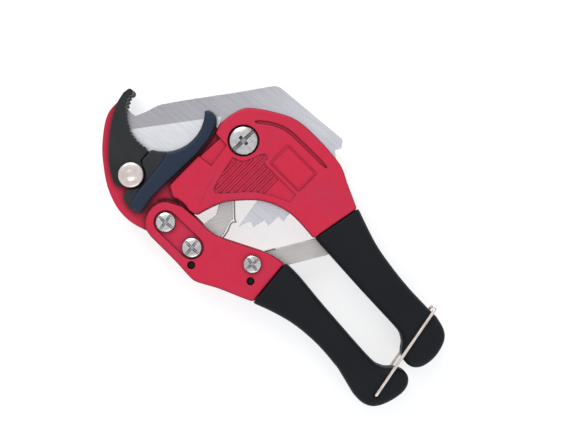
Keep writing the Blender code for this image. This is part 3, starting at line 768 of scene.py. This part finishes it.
def round_edges(thing: bpy.types.Object, width: float, segments: int = 2,
                limit: float = 50.0) -> bpy.types.Object:
    """Round a piece's sharp edges.

    Args:
        thing: The piece.
        width: The rounding's width, in millimetres.
        segments: How many facets it has.
        limit: The angle in degrees past which an edge is sharp.

    Returns:
        The piece.
    """
    bevel = thing.modifiers.new("rounded_edges", "BEVEL")
    bevel.width = width * MM
    bevel.segments = segments
    bevel.limit_method = "ANGLE"
    bevel.angle_limit = math.radians(limit)
    bevel.use_clamp_overlap = False
    return bake(thing)


HELD_NEAR, HELD_BLEND = 1.0, 2.0


def remould(thing: bpy.types.Object, voxel: float, passes: int,
            held: tuple[Point, Point] | None = None) -> bpy.types.Object:
    """Rebuild a piece on an even grid and soften it, as a moulding is soft.

    Args:
        thing: The piece.
        voxel: The grid's pitch, in millimetres.
        passes: How many times it is softened.
        held: Two points of a line in plan, along which the piece is left as it is.

    Returns:
        The piece.
    """
    grid = thing.modifiers.new("grid", "REMESH")
    grid.mode = "VOXEL"
    grid.voxel_size = voxel * MM
    bake(thing)
    soft = thing.modifiers.new("soften", "SMOOTH")
    soft.factor = 0.5
    soft.iterations = passes
    if held:
        first, last = (Vector(point) * MM for point in held)
        across = Vector((last.y - first.y, first.x - last.x)).normalized()
        free = thing.vertex_groups.new(name="free")
        for vertex in thing.data.vertices:
            away = abs(across.dot(vertex.co.xy - first)) / MM
            share = min(1.0, max(0.0, (away - HELD_NEAR) / HELD_BLEND))
            free.add([vertex.index], share, "REPLACE")
        soft.vertex_group = free.name
    return bake(thing)


def shade(thing: bpy.types.Object, angle: float = 40.0, weighted: bool = True) -> bpy.types.Object:
    """Shade a piece smooth up to an angle in degrees, with its flat faces kept flat."""
    thing.data.shade_smooth()
    thing.data.set_sharp_from_angle(angle=math.radians(angle))
    if weighted:
        normals = thing.modifiers.new("flat_faces", "WEIGHTED_NORMAL")
        normals.keep_sharp = True
    return thing


# -------------------------------------------------------------------------- geometry trees

class GeometryTree(Group):
    """A geometry node tree that a piece is grown by."""

    def __init__(self, name: str, sizes: Mapping[str, float]) -> None:
        """Make the tree with one named input for each size.

        Args:
            name: The tree's name.
            sizes: The default of each size, in metres unless it is a count.
        """
        inputs: dict[str, tuple[str, Any]] = {"Geometry": ("NodeSocketGeometry", None)}
        inputs |= {label: (FLOAT, value) for label, value in sizes.items()}
        inputs["Finish"] = ("NodeSocketMaterial", None)
        super().__init__(name, "GeometryNodeTree", inputs, {"Geometry": "NodeSocketGeometry"})

    def end(self, geometry: bpy.types.NodeSocket) -> None:
        """Make the result real, give it its finish and put it out."""
        real = self.add("GeometryNodeRealizeInstances", {"Geometry": geometry})
        dressed = self.add("GeometryNodeSetMaterial", {
            "Geometry": real.outputs[0], "Material": self.entry["Finish"]})
        self.tree.links.new(dressed.outputs[0], self.exit["Geometry"])

    def grow(self, base: bpy.types.Object, finish: bpy.types.Material,
             **sizes: float) -> bpy.types.Object:
        """Grow the piece on its base object and keep the result as a plain mesh.

        Args:
            base: The object whose points or edges the tree works on.
            finish: The material.
            **sizes: Values for the named inputs, with _ for a space.

        Returns:
            The base object, with the grown mesh.
        """
        modifier = base.modifiers.new(self.tree.name, "NODES")
        modifier.node_group = self.tree
        sockets = {item.name: item.identifier for item in self.tree.interface.items_tree
                   if item.item_type == "SOCKET" and item.in_out == "INPUT"}
        modifier[sockets["Finish"]] = finish
        for label, value in sizes.items():
            modifier[sockets[label.replace("_", " ").capitalize()]] = value
        base.update_tag()
        bpy.context.view_layer.update()
        return bake(base)


class SweptSection(GeometryTree):
    """Sweeps an oval section along the edges of the base: wires, beads and ribs."""

    def __init__(self) -> None:
        """Build the tree."""
        super().__init__("swept_section", {"Half width": 0.0005, "Half height": 0.0005,
                                           "Sides": 12.0})
        line = self.add("GeometryNodeMeshToCurve", {"Mesh": self.entry["Geometry"]})
        upright = self.add("GeometryNodeSetCurveNormal", {"Curve": line.outputs[0]}, mode="Z_UP")
        section = self.add("GeometryNodeCurvePrimitiveCircle", {
            "Resolution": self.entry["Sides"], "Radius": 1.0})
        scale = self.add("ShaderNodeCombineXYZ", {
            "X": self.entry["Half width"], "Y": self.entry["Half height"], "Z": 1.0})
        oval = self.add("GeometryNodeTransform", {"Geometry": section.outputs[0],
                                                  "Scale": scale.outputs[0]})
        swept = self.add("GeometryNodeCurveToMesh", {
            "Curve": upright.outputs[0], "Profile Curve": oval.outputs[0], "Fill Caps": True})
        self.end(swept.outputs[0])


class ScrewHeads(GeometryTree):
    """Puts a domed screw with a cross recess on each point of the base, turned by its turn."""

    SHANK_CENTER = -0.48

    def __init__(self) -> None:
        """Build the tree."""
        super().__init__("screw_heads", {
            "Head radius": 0.0048, "Head height": 0.002, "Crown radius": 0.015,
            "Slot length": 0.008, "Slot width": 0.0012, "Cross length": 0.008,
            "Cross width": 0.0012, "Recess depth": 0.0009, "Shank radius": 0.0024,
            "Shank length": 0.015})
        size = self.entry
        body = self._cylinder(size["Head radius"], size["Head height"], 48,
                              self.math("MULTIPLY", size["Head height"], 0.5))
        crown = self.add("GeometryNodeMeshUVSphere", {
            "Segments": 48, "Rings": 96, "Radius": size["Crown radius"]}).outputs[0]
        crown = self._lift(crown, self.math("SUBTRACT", size["Head height"],
                                            size["Crown radius"]))
        head = self.add("GeometryNodeMeshBoolean", {"Mesh 2": body}, operation="INTERSECT",
                        solver="MANIFOLD")
        self.tree.links.new(crown, head.inputs["Mesh 2"])
        shank = self._cylinder(size["Shank radius"], size["Shank length"], 24,
                               self.math("MULTIPLY", size["Shank length"], self.SHANK_CENTER))
        whole = self.add("GeometryNodeMeshBoolean", {"Mesh 2": head.outputs[0]},
                         operation="UNION", solver="MANIFOLD")
        self.tree.links.new(shank, whole.inputs["Mesh 2"])
        screw = whole.outputs[0]
        for length, width in (("Slot length", "Slot width"), ("Cross width", "Cross length")):
            block = self.add("ShaderNodeCombineXYZ", {
                "X": size[length], "Y": size[width],
                "Z": self.math("MULTIPLY", size["Recess depth"], 2.0)})
            cutter = self.add("GeometryNodeMeshCube", {"Size": block.outputs[0]}).outputs[0]
            cut = self.add("GeometryNodeMeshBoolean", {
                "Mesh 1": screw, "Mesh 2": self._lift(cutter, size["Head height"])},
                operation="DIFFERENCE", solver="MANIFOLD")
            screw = cut.outputs[0]
        turn = self.add("GeometryNodeInputNamedAttribute", {"Name": "turn"}, data_type="FLOAT")
        scale = self.add("GeometryNodeInputNamedAttribute", {"Name": "scale"}, data_type="FLOAT")
        rotation = self.add("ShaderNodeCombineXYZ", {"Z": turn.outputs[0]})
        placed = self.add("GeometryNodeInstanceOnPoints", {
            "Points": size["Geometry"], "Instance": screw,
            "Rotation": rotation.outputs[0], "Scale": scale.outputs[0]})
        self.end(placed.outputs[0])

    def _lift(self, geometry: bpy.types.NodeSocket, height: Any) -> bpy.types.NodeSocket:
        """Raise a shape by a height and return its socket."""
        offset = self.add("ShaderNodeCombineXYZ", {"Z": height})
        return self.add("GeometryNodeTransform", {"Geometry": geometry,
                                                  "Translation": offset.outputs[0]}).outputs[0]

    def _cylinder(self, radius: Any, depth: Any, sides: int, height: Any) -> bpy.types.NodeSocket:
        """Add an upright cylinder about a height and return its socket."""
        made = self.add("GeometryNodeMeshCylinder", {"Vertices": sides, "Radius": radius,
                                                     "Depth": depth})
        return self._lift(made.outputs[0], height)


@dataclass(frozen=True)
class Screw:
    """One screw: its place, the height of its head's seat, its turn in degrees and its scale."""

    center: Point
    seat: float
    turn: float
    scale: float = 1.0


def screw_points(name: str, screws: Sequence[Screw]) -> bpy.types.Object:
    """Make the base points that screws are put on, with each one's turn and scale."""
    mesh = bpy.data.meshes.new(name)
    mesh.from_pydata([(s.center[0] * MM, s.center[1] * MM, s.seat * MM) for s in screws], [], [])
    for label, values in (("turn", [math.radians(s.turn) for s in screws]),
                          ("scale", [s.scale for s in screws])):
        mesh.attributes.new(label, "FLOAT", "POINT").data.foreach_set("value", values)
    return link_object(name, mesh)


# --------------------------------------------------------------------------- sub-assemblies

@dataclass
class Workshop:
    """What every sub-assembly is made with: the finishes and the shared geometry trees."""

    finishes: dict[Slot, bpy.types.Material]
    cradle_look: bpy.types.Material
    swept: SweptSection
    screws: ScrewHeads

    def fit(self, piece: bpy.types.Object, body: Body, slot: Slot, *nodes: str,
            look: bpy.types.Material | None = None) -> bpy.types.Object:
        """Dress a piece and hang it on its body.

        Args:
            piece: The piece, in place.
            body: The body that it moves with.
            slot: The record's slot for it.
            *nodes: The CAD nodes that it stands for.
            look: The finish that it takes, if it is not the slot's own.

        Returns:
            The piece.
        """
        piece.data.materials.clear()
        piece.data.materials.append(look or self.finishes[slot])
        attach(piece, body.value)
        if nodes:
            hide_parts(*nodes)
        LOG.info("%s: %d faces on %s", piece.name, len(piece.data.polygons), body.value)
        return piece

    def sweep(self, name: str, paths: Sequence[Sequence[Sequence[float]]], body: Body, slot: Slot,
              half: tuple[float, float], *nodes: str, closed: bool = False, sides: float = 12.0,
              angle: float = 40.0, look: bpy.types.Material | None = None) -> None:
        """Make a piece by sweeping an oval along paths, dress it and hang it on its body.

        Args:
            name: The piece's name.
            paths: Each path's points, in millimetres.
            body: The body that it moves with.
            slot: The record's slot for it.
            half: Half of the oval's width and half of its height, in millimetres.
            *nodes: The CAD nodes that it stands for.
            closed: Whether each path's end joins its start.
            sides: How many sides the oval has.
            angle: The angle in degrees up to which it is shaded smooth.
            look: The finish that it takes, if it is not the slot's own.
        """
        piece = path_object(name, paths, closed)
        self.swept.grow(piece, self.finishes[slot], sides=sides, half_width=half[0] * MM,
                        half_height=half[1] * MM)
        self.fit(shade(piece, angle, weighted=False), body, slot, *nodes, look=look)

    def drive(self, name: str, screws: Sequence[Screw], sizes: Mapping[str, float],
              rounding: float, body: Body, *nodes: str) -> None:
        """Make a group of screws as one piece, dress it and hang it on its body.

        Args:
            name: The piece's name.
            screws: Where each screw goes.
            sizes: The tree's sizes in millimetres, by name.
            rounding: The width of the rounding of their edges, in millimetres.
            body: The body that they move with.
            *nodes: The CAD nodes that they stand for.
        """
        heads = self.screws.grow(screw_points(name, screws), self.finishes[Slot.NICKEL],
                                 **{label: size * MM for label, size in sizes.items()})
        round_edges(heads, rounding, limit=35.0)
        self.fit(shade(heads, 35.0), body, Slot.NICKEL, *nodes)

    def keep(self, node: str, slot: Slot, rounding: float = 0.15) -> None:
        """Dress a CAD node that stays, and round its edges.

        Args:
            node: The node.
            slot: The finish that it takes.
            rounding: The width of the rounding, in millimetres.
        """
        thing = bpy.data.objects[node]
        thing.material_slots[0].material = self.finishes[slot]
        weld = thing.modifiers.new("weld", "WELD")
        weld.merge_threshold = WELD
        bevel = thing.modifiers.new("rounded_edges", "BEVEL")
        bevel.width = rounding * MM
        bevel.segments = 2
        bevel.limit_method = "ANGLE"
        bevel.angle_limit = math.radians(40.0)
        LOG.info("%s: kept", node)


@dataclass
class FrameCasting:
    """The red frame: relief is sunk into both faces of its cheeks."""

    shop: Workshop
    face: float = 8.5
    edge_rounding: float = 0.25
    groove: Sequence[Point] = ((-2.6, 10.7), (4.0, 15.8), (11.5, 19.0), (21.6, 19.7), (39.0, 19.7))
    groove_width: float = 1.7
    groove_depth: float = 0.9
    groove_taper: float = 0.35
    panel: Sequence[Point] = (
        (2.2, -9.8), (3.4, -16.0), (5.0, -23.0), (6.6, -27.4), (8.7, -28.6), (13.9, -23.2),
        (18.0, -18.3), (22.5, -13.9), (30.2, -8.9), (35.0, -6.8), (38.3, -5.4), (37.6, -0.8),
        (15.4, -0.8), (15.0, 2.4), (12.6, 3.2), (10.6, 0.6), (9.4, -3.4), (7.0, -7.6))
    panel_depth: float = 0.5
    rib_pitch: float = 2.6
    rib_half_width: float = 0.62
    rib_count: int = 9
    rib_start: float = 2.3
    rib_margin: float = 0.9
    plaque: tuple[Point, Point] = ((16.9, 1.2), (37.6, 14.5))
    plaque_root: float = 0.3
    plaque_rise: float = 0.18
    plaque_corner: float = 1.0
    plaque_rounding: float = 0.15
    bead_inset: float = 0.7
    bead_rise: float = 0.135
    bead_half: tuple[float, float] = (0.45, 0.315)
    overshoot: float = 2.0
    shoulder: Sequence[Point] = ((-16.0, -6.9), (-9.2, -7.4), (-9.9, -21.2), (-16.0, -22.0))
    shoulder_depth: float = 3.4
    facet: Sequence[Point] = ((-9.4, -7.3), (-4.2, -7.7), (-2.4, -20.3), (-10.1, -21.3))
    facet_depth: float = 0.8
    core: float = 4.5
    ring_center: Point = HANDLE_PIVOT
    ring_radius: float = 11.7
    ring_span: tuple[int, int, int] = (103, 156, 4)
    ring_half: tuple[float, float] = (0.45, 0.9)

    def build(self) -> None:
        """Make the casting, its ribs and its plaques."""
        casting = merged_copy("frame_casting", "frame_casting_relief")
        cutters = [cutter for face in Face for cutter in self._cutters(face)]
        carve(casting, cutters)
        round_edges(casting, self.edge_rounding)
        self.shop.fit(shade(casting), Body.FRAME, Slot.RED, "frame_casting")
        for face in Face:
            self._ribs(face)
            self._plaque(face)
            self._ring(face)

    def _level(self, face: Face, below: float) -> float:
        """The height of a level that lies a depth under one face's surface."""
        return MID + face.value * (self.face - below)

    def _sunk(self, name: str, outline: Sequence[Point], face: Face,
              depth: float) -> bpy.types.Object:
        """A cutter that sinks an outline into one face."""
        low, high = sorted((self._level(face, depth), self._level(face, -self.overshoot)))
        return prism(f"{name}_{face.name.lower()}", outline, low, high)

    def _cutters(self, face: Face) -> list[bpy.types.Object]:
        """The relief's cutters for one face."""
        line = smooth_path(self.groove)
        above, below = [], []
        for i, (x, y) in enumerate(line):
            first, last = line[max(i - 1, 0)], line[min(i + 1, len(line) - 1)]
            along = Vector((last[0] - first[0], last[1] - first[1])).normalized()
            half = self.groove_width / 2 * (self.groove_taper if i in (0, len(line) - 1) else 1.0)
            above.append((x - along.y * half, y + along.x * half))
            below.append((x + along.y * half, y - along.x * half))
        return [self._sunk("groove", below + above[::-1], face, self.groove_depth),
                self._sunk("panel", self.panel, face, self.panel_depth),
                self._sunk("shoulder", self.shoulder, face, self.shoulder_depth),
                self._sunk("facet", self.facet, face, self.facet_depth)]

    def _span(self, x: float) -> tuple[float, float]:
        """The panel's lowest and highest place on a line parallel to Y."""
        crossings = []
        for (x0, y0), (x1, y1) in zip(self.panel, (*self.panel[1:], self.panel[0])):
            if (x0 - x) * (x1 - x) < 0:
                crossings.append(y0 + (y1 - y0) * (x - x0) / (x1 - x0))
        return min(crossings), max(crossings)

    def _ribs(self, face: Face) -> None:
        """Lay the ribs into the panel of one face."""
        level = self._level(face, self.panel_depth)
        paths = []
        for i in range(self.rib_count):
            x = self.panel[0][0] + self.rib_start + i * self.rib_pitch
            low, high = self._span(x)
            paths.append([(x, low + self.rib_margin, level), (x, high - self.rib_margin, level)])
        self.shop.sweep(f"panel_ribs_{face.name.lower()}", paths, Body.FRAME, Slot.RED,
                        (self.rib_half_width, self.panel_depth))

    def _ring(self, face: Face) -> None:
        """Lay a ridge on the frame's core, round the lower handle's boss."""
        level = MID + face.value * self.core
        path = [(*polar(self.ring_center, self.ring_radius, angle), level)
                for angle in range(*self.ring_span)]
        self.shop.sweep(f"boss_ridge_{face.name.lower()}", [path], Body.FRAME, Slot.RED,
                        self.ring_half)

    def _plaque(self, face: Face) -> None:
        """Raise the blank plaque on one face, with a bead round its edge."""
        (left, bottom), (right, top) = self.plaque
        corner = self.plaque_corner
        centers = ((right - corner, bottom + corner, -90), (right - corner, top - corner, 0),
                   (left + corner, top - corner, 90), (left + corner, bottom + corner, 180))
        outline = [polar((x, y), corner, start + 90 * i / 5) for x, y, start in centers
                   for i in range(6)]
        low, high = sorted((self._level(face, self.plaque_root),
                            self._level(face, -self.plaque_rise)))
        raised = prism(f"plaque_{face.name.lower()}", outline, low, high)
        round_edges(raised, self.plaque_rounding)
        self.shop.fit(shade(raised), Body.FRAME, Slot.RED)
        level = self._level(face, -self.bead_rise)
        middle = Vector(((left + right) / 2, (bottom + top) / 2))
        reach = Vector(((right - left) / 2, (top - bottom) / 2))
        across, along = 1 - self.bead_inset / reach.x, 1 - self.bead_inset / reach.y
        path = [(middle.x + (x - middle.x) * across, middle.y + (y - middle.y) * along, level)
                for x, y in outline]
        self.shop.sweep(f"plaque_bead_{face.name.lower()}", [path], Body.FRAME, Slot.RED,
                        self.bead_half, closed=True)


@dataclass
class Jaw:
    """The black hook plates and pipe cradles on both faces, and the rivet through them."""

    shop: Workshop
    hook_rounding: float = 0.35
    cradle_voxel: float = 0.45
    cradle_passes: int = 4
    rivet: Point = (-27.6, -51.8)
    rivet_profile: Sequence[Point] = (
        (0.0, 20.35), (1.0, 20.4), (1.9, 20.55), (2.5, 20.85), (3.0, 20.98), (3.6, 21.0),
        (4.8, 20.95), (5.6, 20.8), (6.1, 20.5), (6.35, 20.1), (6.4, 19.7), (6.4, 19.4),
        (6.2, 19.3), (2.9, 19.3), (2.9, 2.7), (5.8, 2.7), (5.8, 1.9), (5.5, 1.3), (4.9, 1.0),
        (2.0, 1.0), (1.2, 1.3), (0.0, 1.4))

    def build(self) -> None:
        """Make both hooks, both cradles and the rivet."""
        for face in Face:
            side = face.name.lower()
            hook = merged_copy(f"hook_jaw_{side}", f"serrated_hook_{side}")
            round_edges(hook, self.hook_rounding)
            self.shop.fit(shade(hook), Body.FRAME, Slot.BLACK, f"hook_jaw_{side}")
            cradle = merged_copy(f"pipe_cradle_{side}", f"rounded_cradle_{side}")
            remould(cradle, self.cradle_voxel, self.cradle_passes)
            self.shop.fit(shade(cradle, 60.0, weighted=False), Body.FRAME, Slot.BLACK,
                          f"pipe_cradle_{side}", look=self.shop.cradle_look)
        self._rivet()

    def _rivet(self) -> None:
        """Turn the rivet: a dished middle, a flat rim and a formed tail."""
        rivet = lathe("formed_jaw_rivet", self.rivet, self.rivet_profile)
        self.shop.fit(shade(rivet, 50.0), Body.FRAME, Slot.RIVET, "jaw_rivet")


@dataclass
class BladeUnit:
    """The ratchet blade and what it turns on."""

    shop: Workshop
    blade_rounding: float = 0.05
    bolt: Screw = Screw((0.0, 0.0), 17.4, 88.0)
    bolt_rounding: float = 0.14
    bolt_sizes: Mapping[str, float] = field(default_factory=lambda: {
        "head_radius": 7.0, "head_height": 2.47, "crown_radius": 24.0, "slot_length": 16.0,
        "slot_width": 1.8, "cross_length": 5.4, "cross_width": 1.6, "recess_depth": 1.8,
        "shank_radius": 3.7, "shank_length": 15.8})

    def build(self) -> None:
        """Make the blade and its bolt, and dress the small parts that stay."""
        blade = merged_copy("blade", "ground_blade")
        round_edges(blade, self.blade_rounding, segments=1, limit=60.0)
        self.shop.fit(shade(blade, 25.0), Body.BLADE, Slot.GROUND, "blade")
        self.shop.drive("slotted_pivot_bolt", [self.bolt], self.bolt_sizes, self.bolt_rounding,
                        Body.FRAME, "blade_pivot_bolt")
        self.shop.keep("blade_pivot_nut", Slot.NICKEL, 0.4)
        self.shop.keep("pivot_spring_washer", Slot.WIRE, 0.1)
        self.shop.keep("blade_bush", Slot.STAMPED, 0.1)
        self.shop.keep("link_guide_pin", Slot.WIRE, 0.1)


@dataclass
class LowerHandle:
    """The red lower handle with its screws, nuts, pins and spacers."""

    shop: Workshop
    edge_rounding: float = 0.3
    screws: Sequence[Screw] = (
        Screw(HANDLE_PIVOT, 18.3, 7.0), Screw(PAWL_PIVOT, 18.3, 3.0),
        Screw(LINK_PIVOT, 19.3, -8.0, 0.9))
    screw_rounding: float = 0.12
    screw_sizes: Mapping[str, float] = field(default_factory=lambda: {
        "head_radius": 4.8, "head_height": 1.95, "crown_radius": 13.5, "slot_length": 8.4,
        "slot_width": 1.25, "cross_length": 8.4, "cross_width": 1.25, "recess_depth": 0.95,
        "shank_radius": 2.4, "shank_length": 15.4})
    pins: Mapping[str, Point] = field(default_factory=lambda: {
        "pawl_stop_pin": (25.5, -62.4), "link_stop_pin": (52.1, -47.2)})
    pin_profile: Sequence[Point] = (
        (0.0, 16.6), (1.5, 16.6), (1.95, 16.2), (1.95, 5.8), (1.5, 5.4), (0.0, 5.4))

    def build(self) -> None:
        """Make the casting and the screws, and dress the small parts that stay."""
        casting = merged_copy("lower_handle_casting", "lower_handle_cast")
        round_edges(casting, self.edge_rounding)
        self.shop.fit(shade(casting), Body.HANDLE, Slot.RED, "lower_handle_casting")
        self.shop.drive("cross_recess_screws", self.screws, self.screw_sizes,
                        self.screw_rounding, Body.HANDLE, "handle_pivot_screw",
                        "pawl_pivot_screw", "link_pivot_screw")
        for name in ("handle_pivot", "pawl_pivot", "link_pivot"):
            self.shop.keep(f"{name}_nut", Slot.NICKEL, 0.25)
        for name, center in self.pins.items():
            plug = lathe(f"blackened_{name}", center, self.pin_profile, 32)
            self.shop.fit(shade(plug), Body.HANDLE, Slot.BLACK, name)
        for name in ("link_spacer_front", "link_spacer_back"):
            self.shop.keep(name, Slot.STAMPED, 0.1)


@dataclass
class Grips:
    """The two dipped grips, rounded all over."""

    shop: Workshop
    voxel: float = 0.6
    passes: int = 8
    lip: float = 0.9
    press: float = 0.45
    bail_pivot: Point = BAIL_PIVOT
    hole: float = 1.2
    hole_floor: float = 5.0
    mouths: Mapping[str, tuple[Point, Point]] = field(default_factory=lambda: {
        "upper_grip": ((60.3, -9.5), (65.1, 16.7)), "lower_grip": ((62.7, -70.0), (58.4, -25.0))})

    def build(self) -> None:
        """Make both grips."""
        for node, body in (("upper_grip", Body.FRAME), ("lower_grip", Body.HANDLE)):
            grip = merged_copy(node, f"moulded_{node}")
            remould(grip, self.voxel, self.passes, self.mouths[node])
            self._close_up(grip, *(Vector(point) * MM for point in self.mouths[node]))
            if node == "lower_grip":
                carve(grip, [self._bail_hole(face) for face in Face])
            self.shop.fit(shade(grip, 60.0, weighted=False), body, Slot.VINYL, node)

    def _bail_hole(self, face: Face) -> bpy.types.Object:
        """The cutter for the hole that one end of the bail turns in."""
        low, high = sorted((MID + face.value * self.hole_floor, MID + face.value * 2.0 * MID))
        profile = [(0.0, high), (self.hole, high), (self.hole, low), (0.0, low)]
        return lathe(f"bail_hole_{face.name.lower()}", self.bail_pivot, profile, 32)

    def _close_up(self, grip: bpy.types.Object, first: Vector, last: Vector) -> None:
        """Press a grip's mouth up against its casting.

        Args:
            grip: The grip.
            first: One end of its mouth, in plan.
            last: The other end.
        """
        across = Vector((last.y - first.y, first.x - last.x)).normalized()
        across *= math.copysign(1.0, across.x)
        for vertex in grip.data.vertices:
            if across.dot(vertex.co.xy - first) < self.lip * MM:
                vertex.co.xy -= across * self.press * MM


@dataclass
class Ratchet:
    """The drive pawl, the link bar and their springs."""

    shop: Workshop
    wire: float = 0.4
    pawl_pivot: Point = PAWL_PIVOT
    link_pivot: Point = LINK_PIVOT
    link_angle: float = 58.9

    def build(self) -> None:
        """Make the stampings and the springs."""
        for node, name, body in (("drive_pawl", "stamped_pawl", Body.PAWL),
                                 ("opening_link", "stamped_link", Body.LINK)):
            piece = merged_copy(node, name)
            round_edges(piece, 0.22)
            self.shop.fit(shade(piece), body, Slot.STAMPED, node)
        self._spring("wound_pawl_spring", self._pawl_path(), Body.PAWL, "pawl_spring")
        self._spring("wound_opening_spring", self._opening_path(), Body.HANDLE, "opening_spring")

    @staticmethod
    def _coil(center: Point, radius: float, low: float, high: float, turns: float, start: float,
              steps: int = 28) -> list[Place]:
        """Wind a coil.

        Args:
            center: The coil's axis, in plan.
            radius: The wire's distance from the axis.
            low: The height that it starts at.
            high: The height that it ends at.
            turns: How many turns it has, with a fraction.
            start: The angle that it starts at, in degrees.
            steps: How many points a turn has.

        Returns:
            The coil's points.
        """
        count = round(turns * steps)
        return [(*polar(center, radius, start + 360 * turns * i / count),
                 low + (high - low) * i / count) for i in range(count + 1)]

    def _pawl_path(self) -> list[Place]:
        """The coil about the pawl's pivot, and the leg that lies along the pawl."""
        level = MID + 2.7
        leg = smooth_path([(25.4, -53.6, level - 0.3), (26.8, -40.5, level), (24.7, -33.7, level),
                           (26.0, -31.4, level), (24.5, -30.9, level), (17.5, -24.3, level)], 3)
        return [*self._coil(self.pawl_pivot, 5.0, MID - 1.0, MID + 1.0, 2.0, 0.0), *leg]

    def _opening_path(self) -> list[Place]:
        """The coil about the link's pivot, with a leg on the link and one in the handle."""
        floor_angle = 215.0
        start = self.link_angle + 90.0
        turns = (floor_angle - 90.0 - start) / 360.0 + 2.0
        low, high = MID + 1.95, MID + 4.2
        coil = self._coil(self.link_pivot, 4.7, low, high, turns, start)
        on_link = (*polar(coil[0][:2], 13.0, self.link_angle), low)
        on_floor = (*polar(coil[-1][:2], 10.0, floor_angle), high)
        return [on_link, *coil, on_floor]

    def _spring(self, name: str, path: Sequence[Place], body: Body, node: str) -> None:
        """Make one spring from its path.

        Args:
            name: The piece's name.
            path: The wire's centre line.
            body: The body that it moves with.
            node: The CAD node that it stands for.
        """
        self.shop.sweep(name, [path], body, Slot.WIRE, (self.wire, self.wire), node, angle=60.0)


@dataclass
class Bail:
    """The wire that locks the handles together."""

    shop: Workshop
    wire: float = 0.8
    pivot: Point = BAIL_PIVOT
    end: Point = (126.8, 8.3)
    reach: float = 10.15
    inside: float = 5.5
    bend: float = 1.6

    def build(self) -> None:
        """Make the bail."""
        corners = [(*self.pivot, MID - self.inside), (*self.pivot, MID - self.reach),
                   (*self.end, MID - self.reach), (*self.end, MID + self.reach),
                   (*self.pivot, MID + self.reach), (*self.pivot, MID + self.inside)]
        self.shop.sweep("bent_bail", [rounded_corners(corners, self.bend)], Body.BAIL, Slot.WIRE,
                        (self.wire, self.wire), "wire_bail", sides=16.0, angle=60.0,
                        look=self.shop.finishes[Slot.RIVET])


# ---------------------------------------------------------------------------------- studio

@dataclass(frozen=True)
class SoftLight:
    """A square soft light that is aimed at the tool."""

    name: str
    place: Place
    size: float
    power: float
    color: Color = (1.0, 1.0, 1.0)

    def build(self, aim: Vector) -> None:
        """Hang the light and aim it at a point."""
        lamp = bpy.data.lights.new(self.name, "AREA")
        lamp.size = self.size
        lamp.energy = self.power
        lamp.color = self.color
        thing = bpy.data.objects.new(self.name, lamp)
        thing.location = self.place
        thing.rotation_euler = (aim - Vector(self.place)).to_track_quat("-Z", "Y").to_euler()
        bpy.context.scene.collection.objects.link(thing)


@dataclass
class Studio:
    """A pale floor, soft lights and the camera straight above."""

    aim: Place = (0.0423, -0.0109, 0.011)
    height: float = 0.7265
    turn: float = 45.0
    lens: float = 90.0
    floor_size: float = 6.0
    floor_level: float = -0.0002
    world: Color = (0.93, 0.95, 1.0)
    world_strength: float = 0.8
    lights: Sequence[SoftLight] = (
        SoftLight("key_light", (-0.9, 0.5, 0.8), 0.9, 8.5),
        SoftLight("fill_light", (1.0, -0.6, 0.7), 1.1, 4.0, (0.92, 0.95, 1.0)))

    def build(self) -> None:
        """Set the stage."""
        corner = self.floor_size / 2
        mesh = bpy.data.meshes.new("floor")
        mesh.from_pydata([(x, y, self.floor_level) for x, y in (
            (-corner, -corner), (corner, -corner), (corner, corner), (-corner, corner))],
            [], [(0, 1, 2, 3)])
        mesh.materials.append(self._floor_finish())
        link_object("floor", mesh)
        aim = Vector(self.aim)
        for light in self.lights:
            light.build(aim)
        world = bpy.data.worlds.new("studio")
        world.use_nodes = True
        background = world.node_tree.nodes["Background"]
        background.inputs["Color"].default_value = (*self.world, 1.0)
        background.inputs["Strength"].default_value = self.world_strength
        scene = bpy.context.scene
        scene.world = world
        scene.view_settings.view_transform = "Standard"
        eye = bpy.data.cameras.new("camera")
        eye.lens = self.lens
        eye.sensor_width = 36.0
        camera = bpy.data.objects.new("camera", eye)
        camera.location = aim + Vector((0, 0, self.height))
        camera.rotation_euler = (0, 0, math.radians(self.turn))
        scene.collection.objects.link(camera)
        scene.camera = camera

    @staticmethod
    def _floor_finish() -> bpy.types.Material:
        """A pale, matt paper."""
        made = bpy.data.materials.new("pale_paper")
        made.use_nodes = True
        g = Graph(made.node_tree)
        place = g.add("ShaderNodeTexCoord").outputs["Object"]
        fibre = g.add("ShaderNodeTexNoise", {"Vector": place, "Scale": 900.0, "Detail": 3.0})
        shader = g.tree.nodes["Principled BSDF"]
        tone = g.mix(fibre.outputs["Fac"], (0.44, 0.44, 0.44, 1.0), (0.47, 0.47, 0.47, 1.0))
        g.tree.links.new(tone, shader.inputs["Base Color"])
        shader.inputs["Roughness"].default_value = 0.9
        shader.inputs["Emission Color"].default_value = (1.0, 1.0, 1.0, 1.0)
        shader.inputs["Emission Strength"].default_value = 0.65
        return made


def main() -> None:
    """Load the frame and build the looks around it."""
    logging.basicConfig(level=logging.INFO, format="%(message)s")
    for old in list(bpy.data.objects):
        bpy.data.objects.remove(old)
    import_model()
    Studio().build()
    effects = Effects()
    finishes = {slot: finish.build(effects) for slot, finish in FINISHES.items()}
    shop = Workshop(finishes, CRADLE_LOOK.build(effects), SweptSection(), ScrewHeads())
    assemblies: list[Callable[[Workshop], Any]] = [
        FrameCasting, Jaw, BladeUnit, LowerHandle, Grips, Ratchet, Bail]
    for assembly in assemblies:
        assembly(shop).build()


if __name__ == "__main__":
    main()
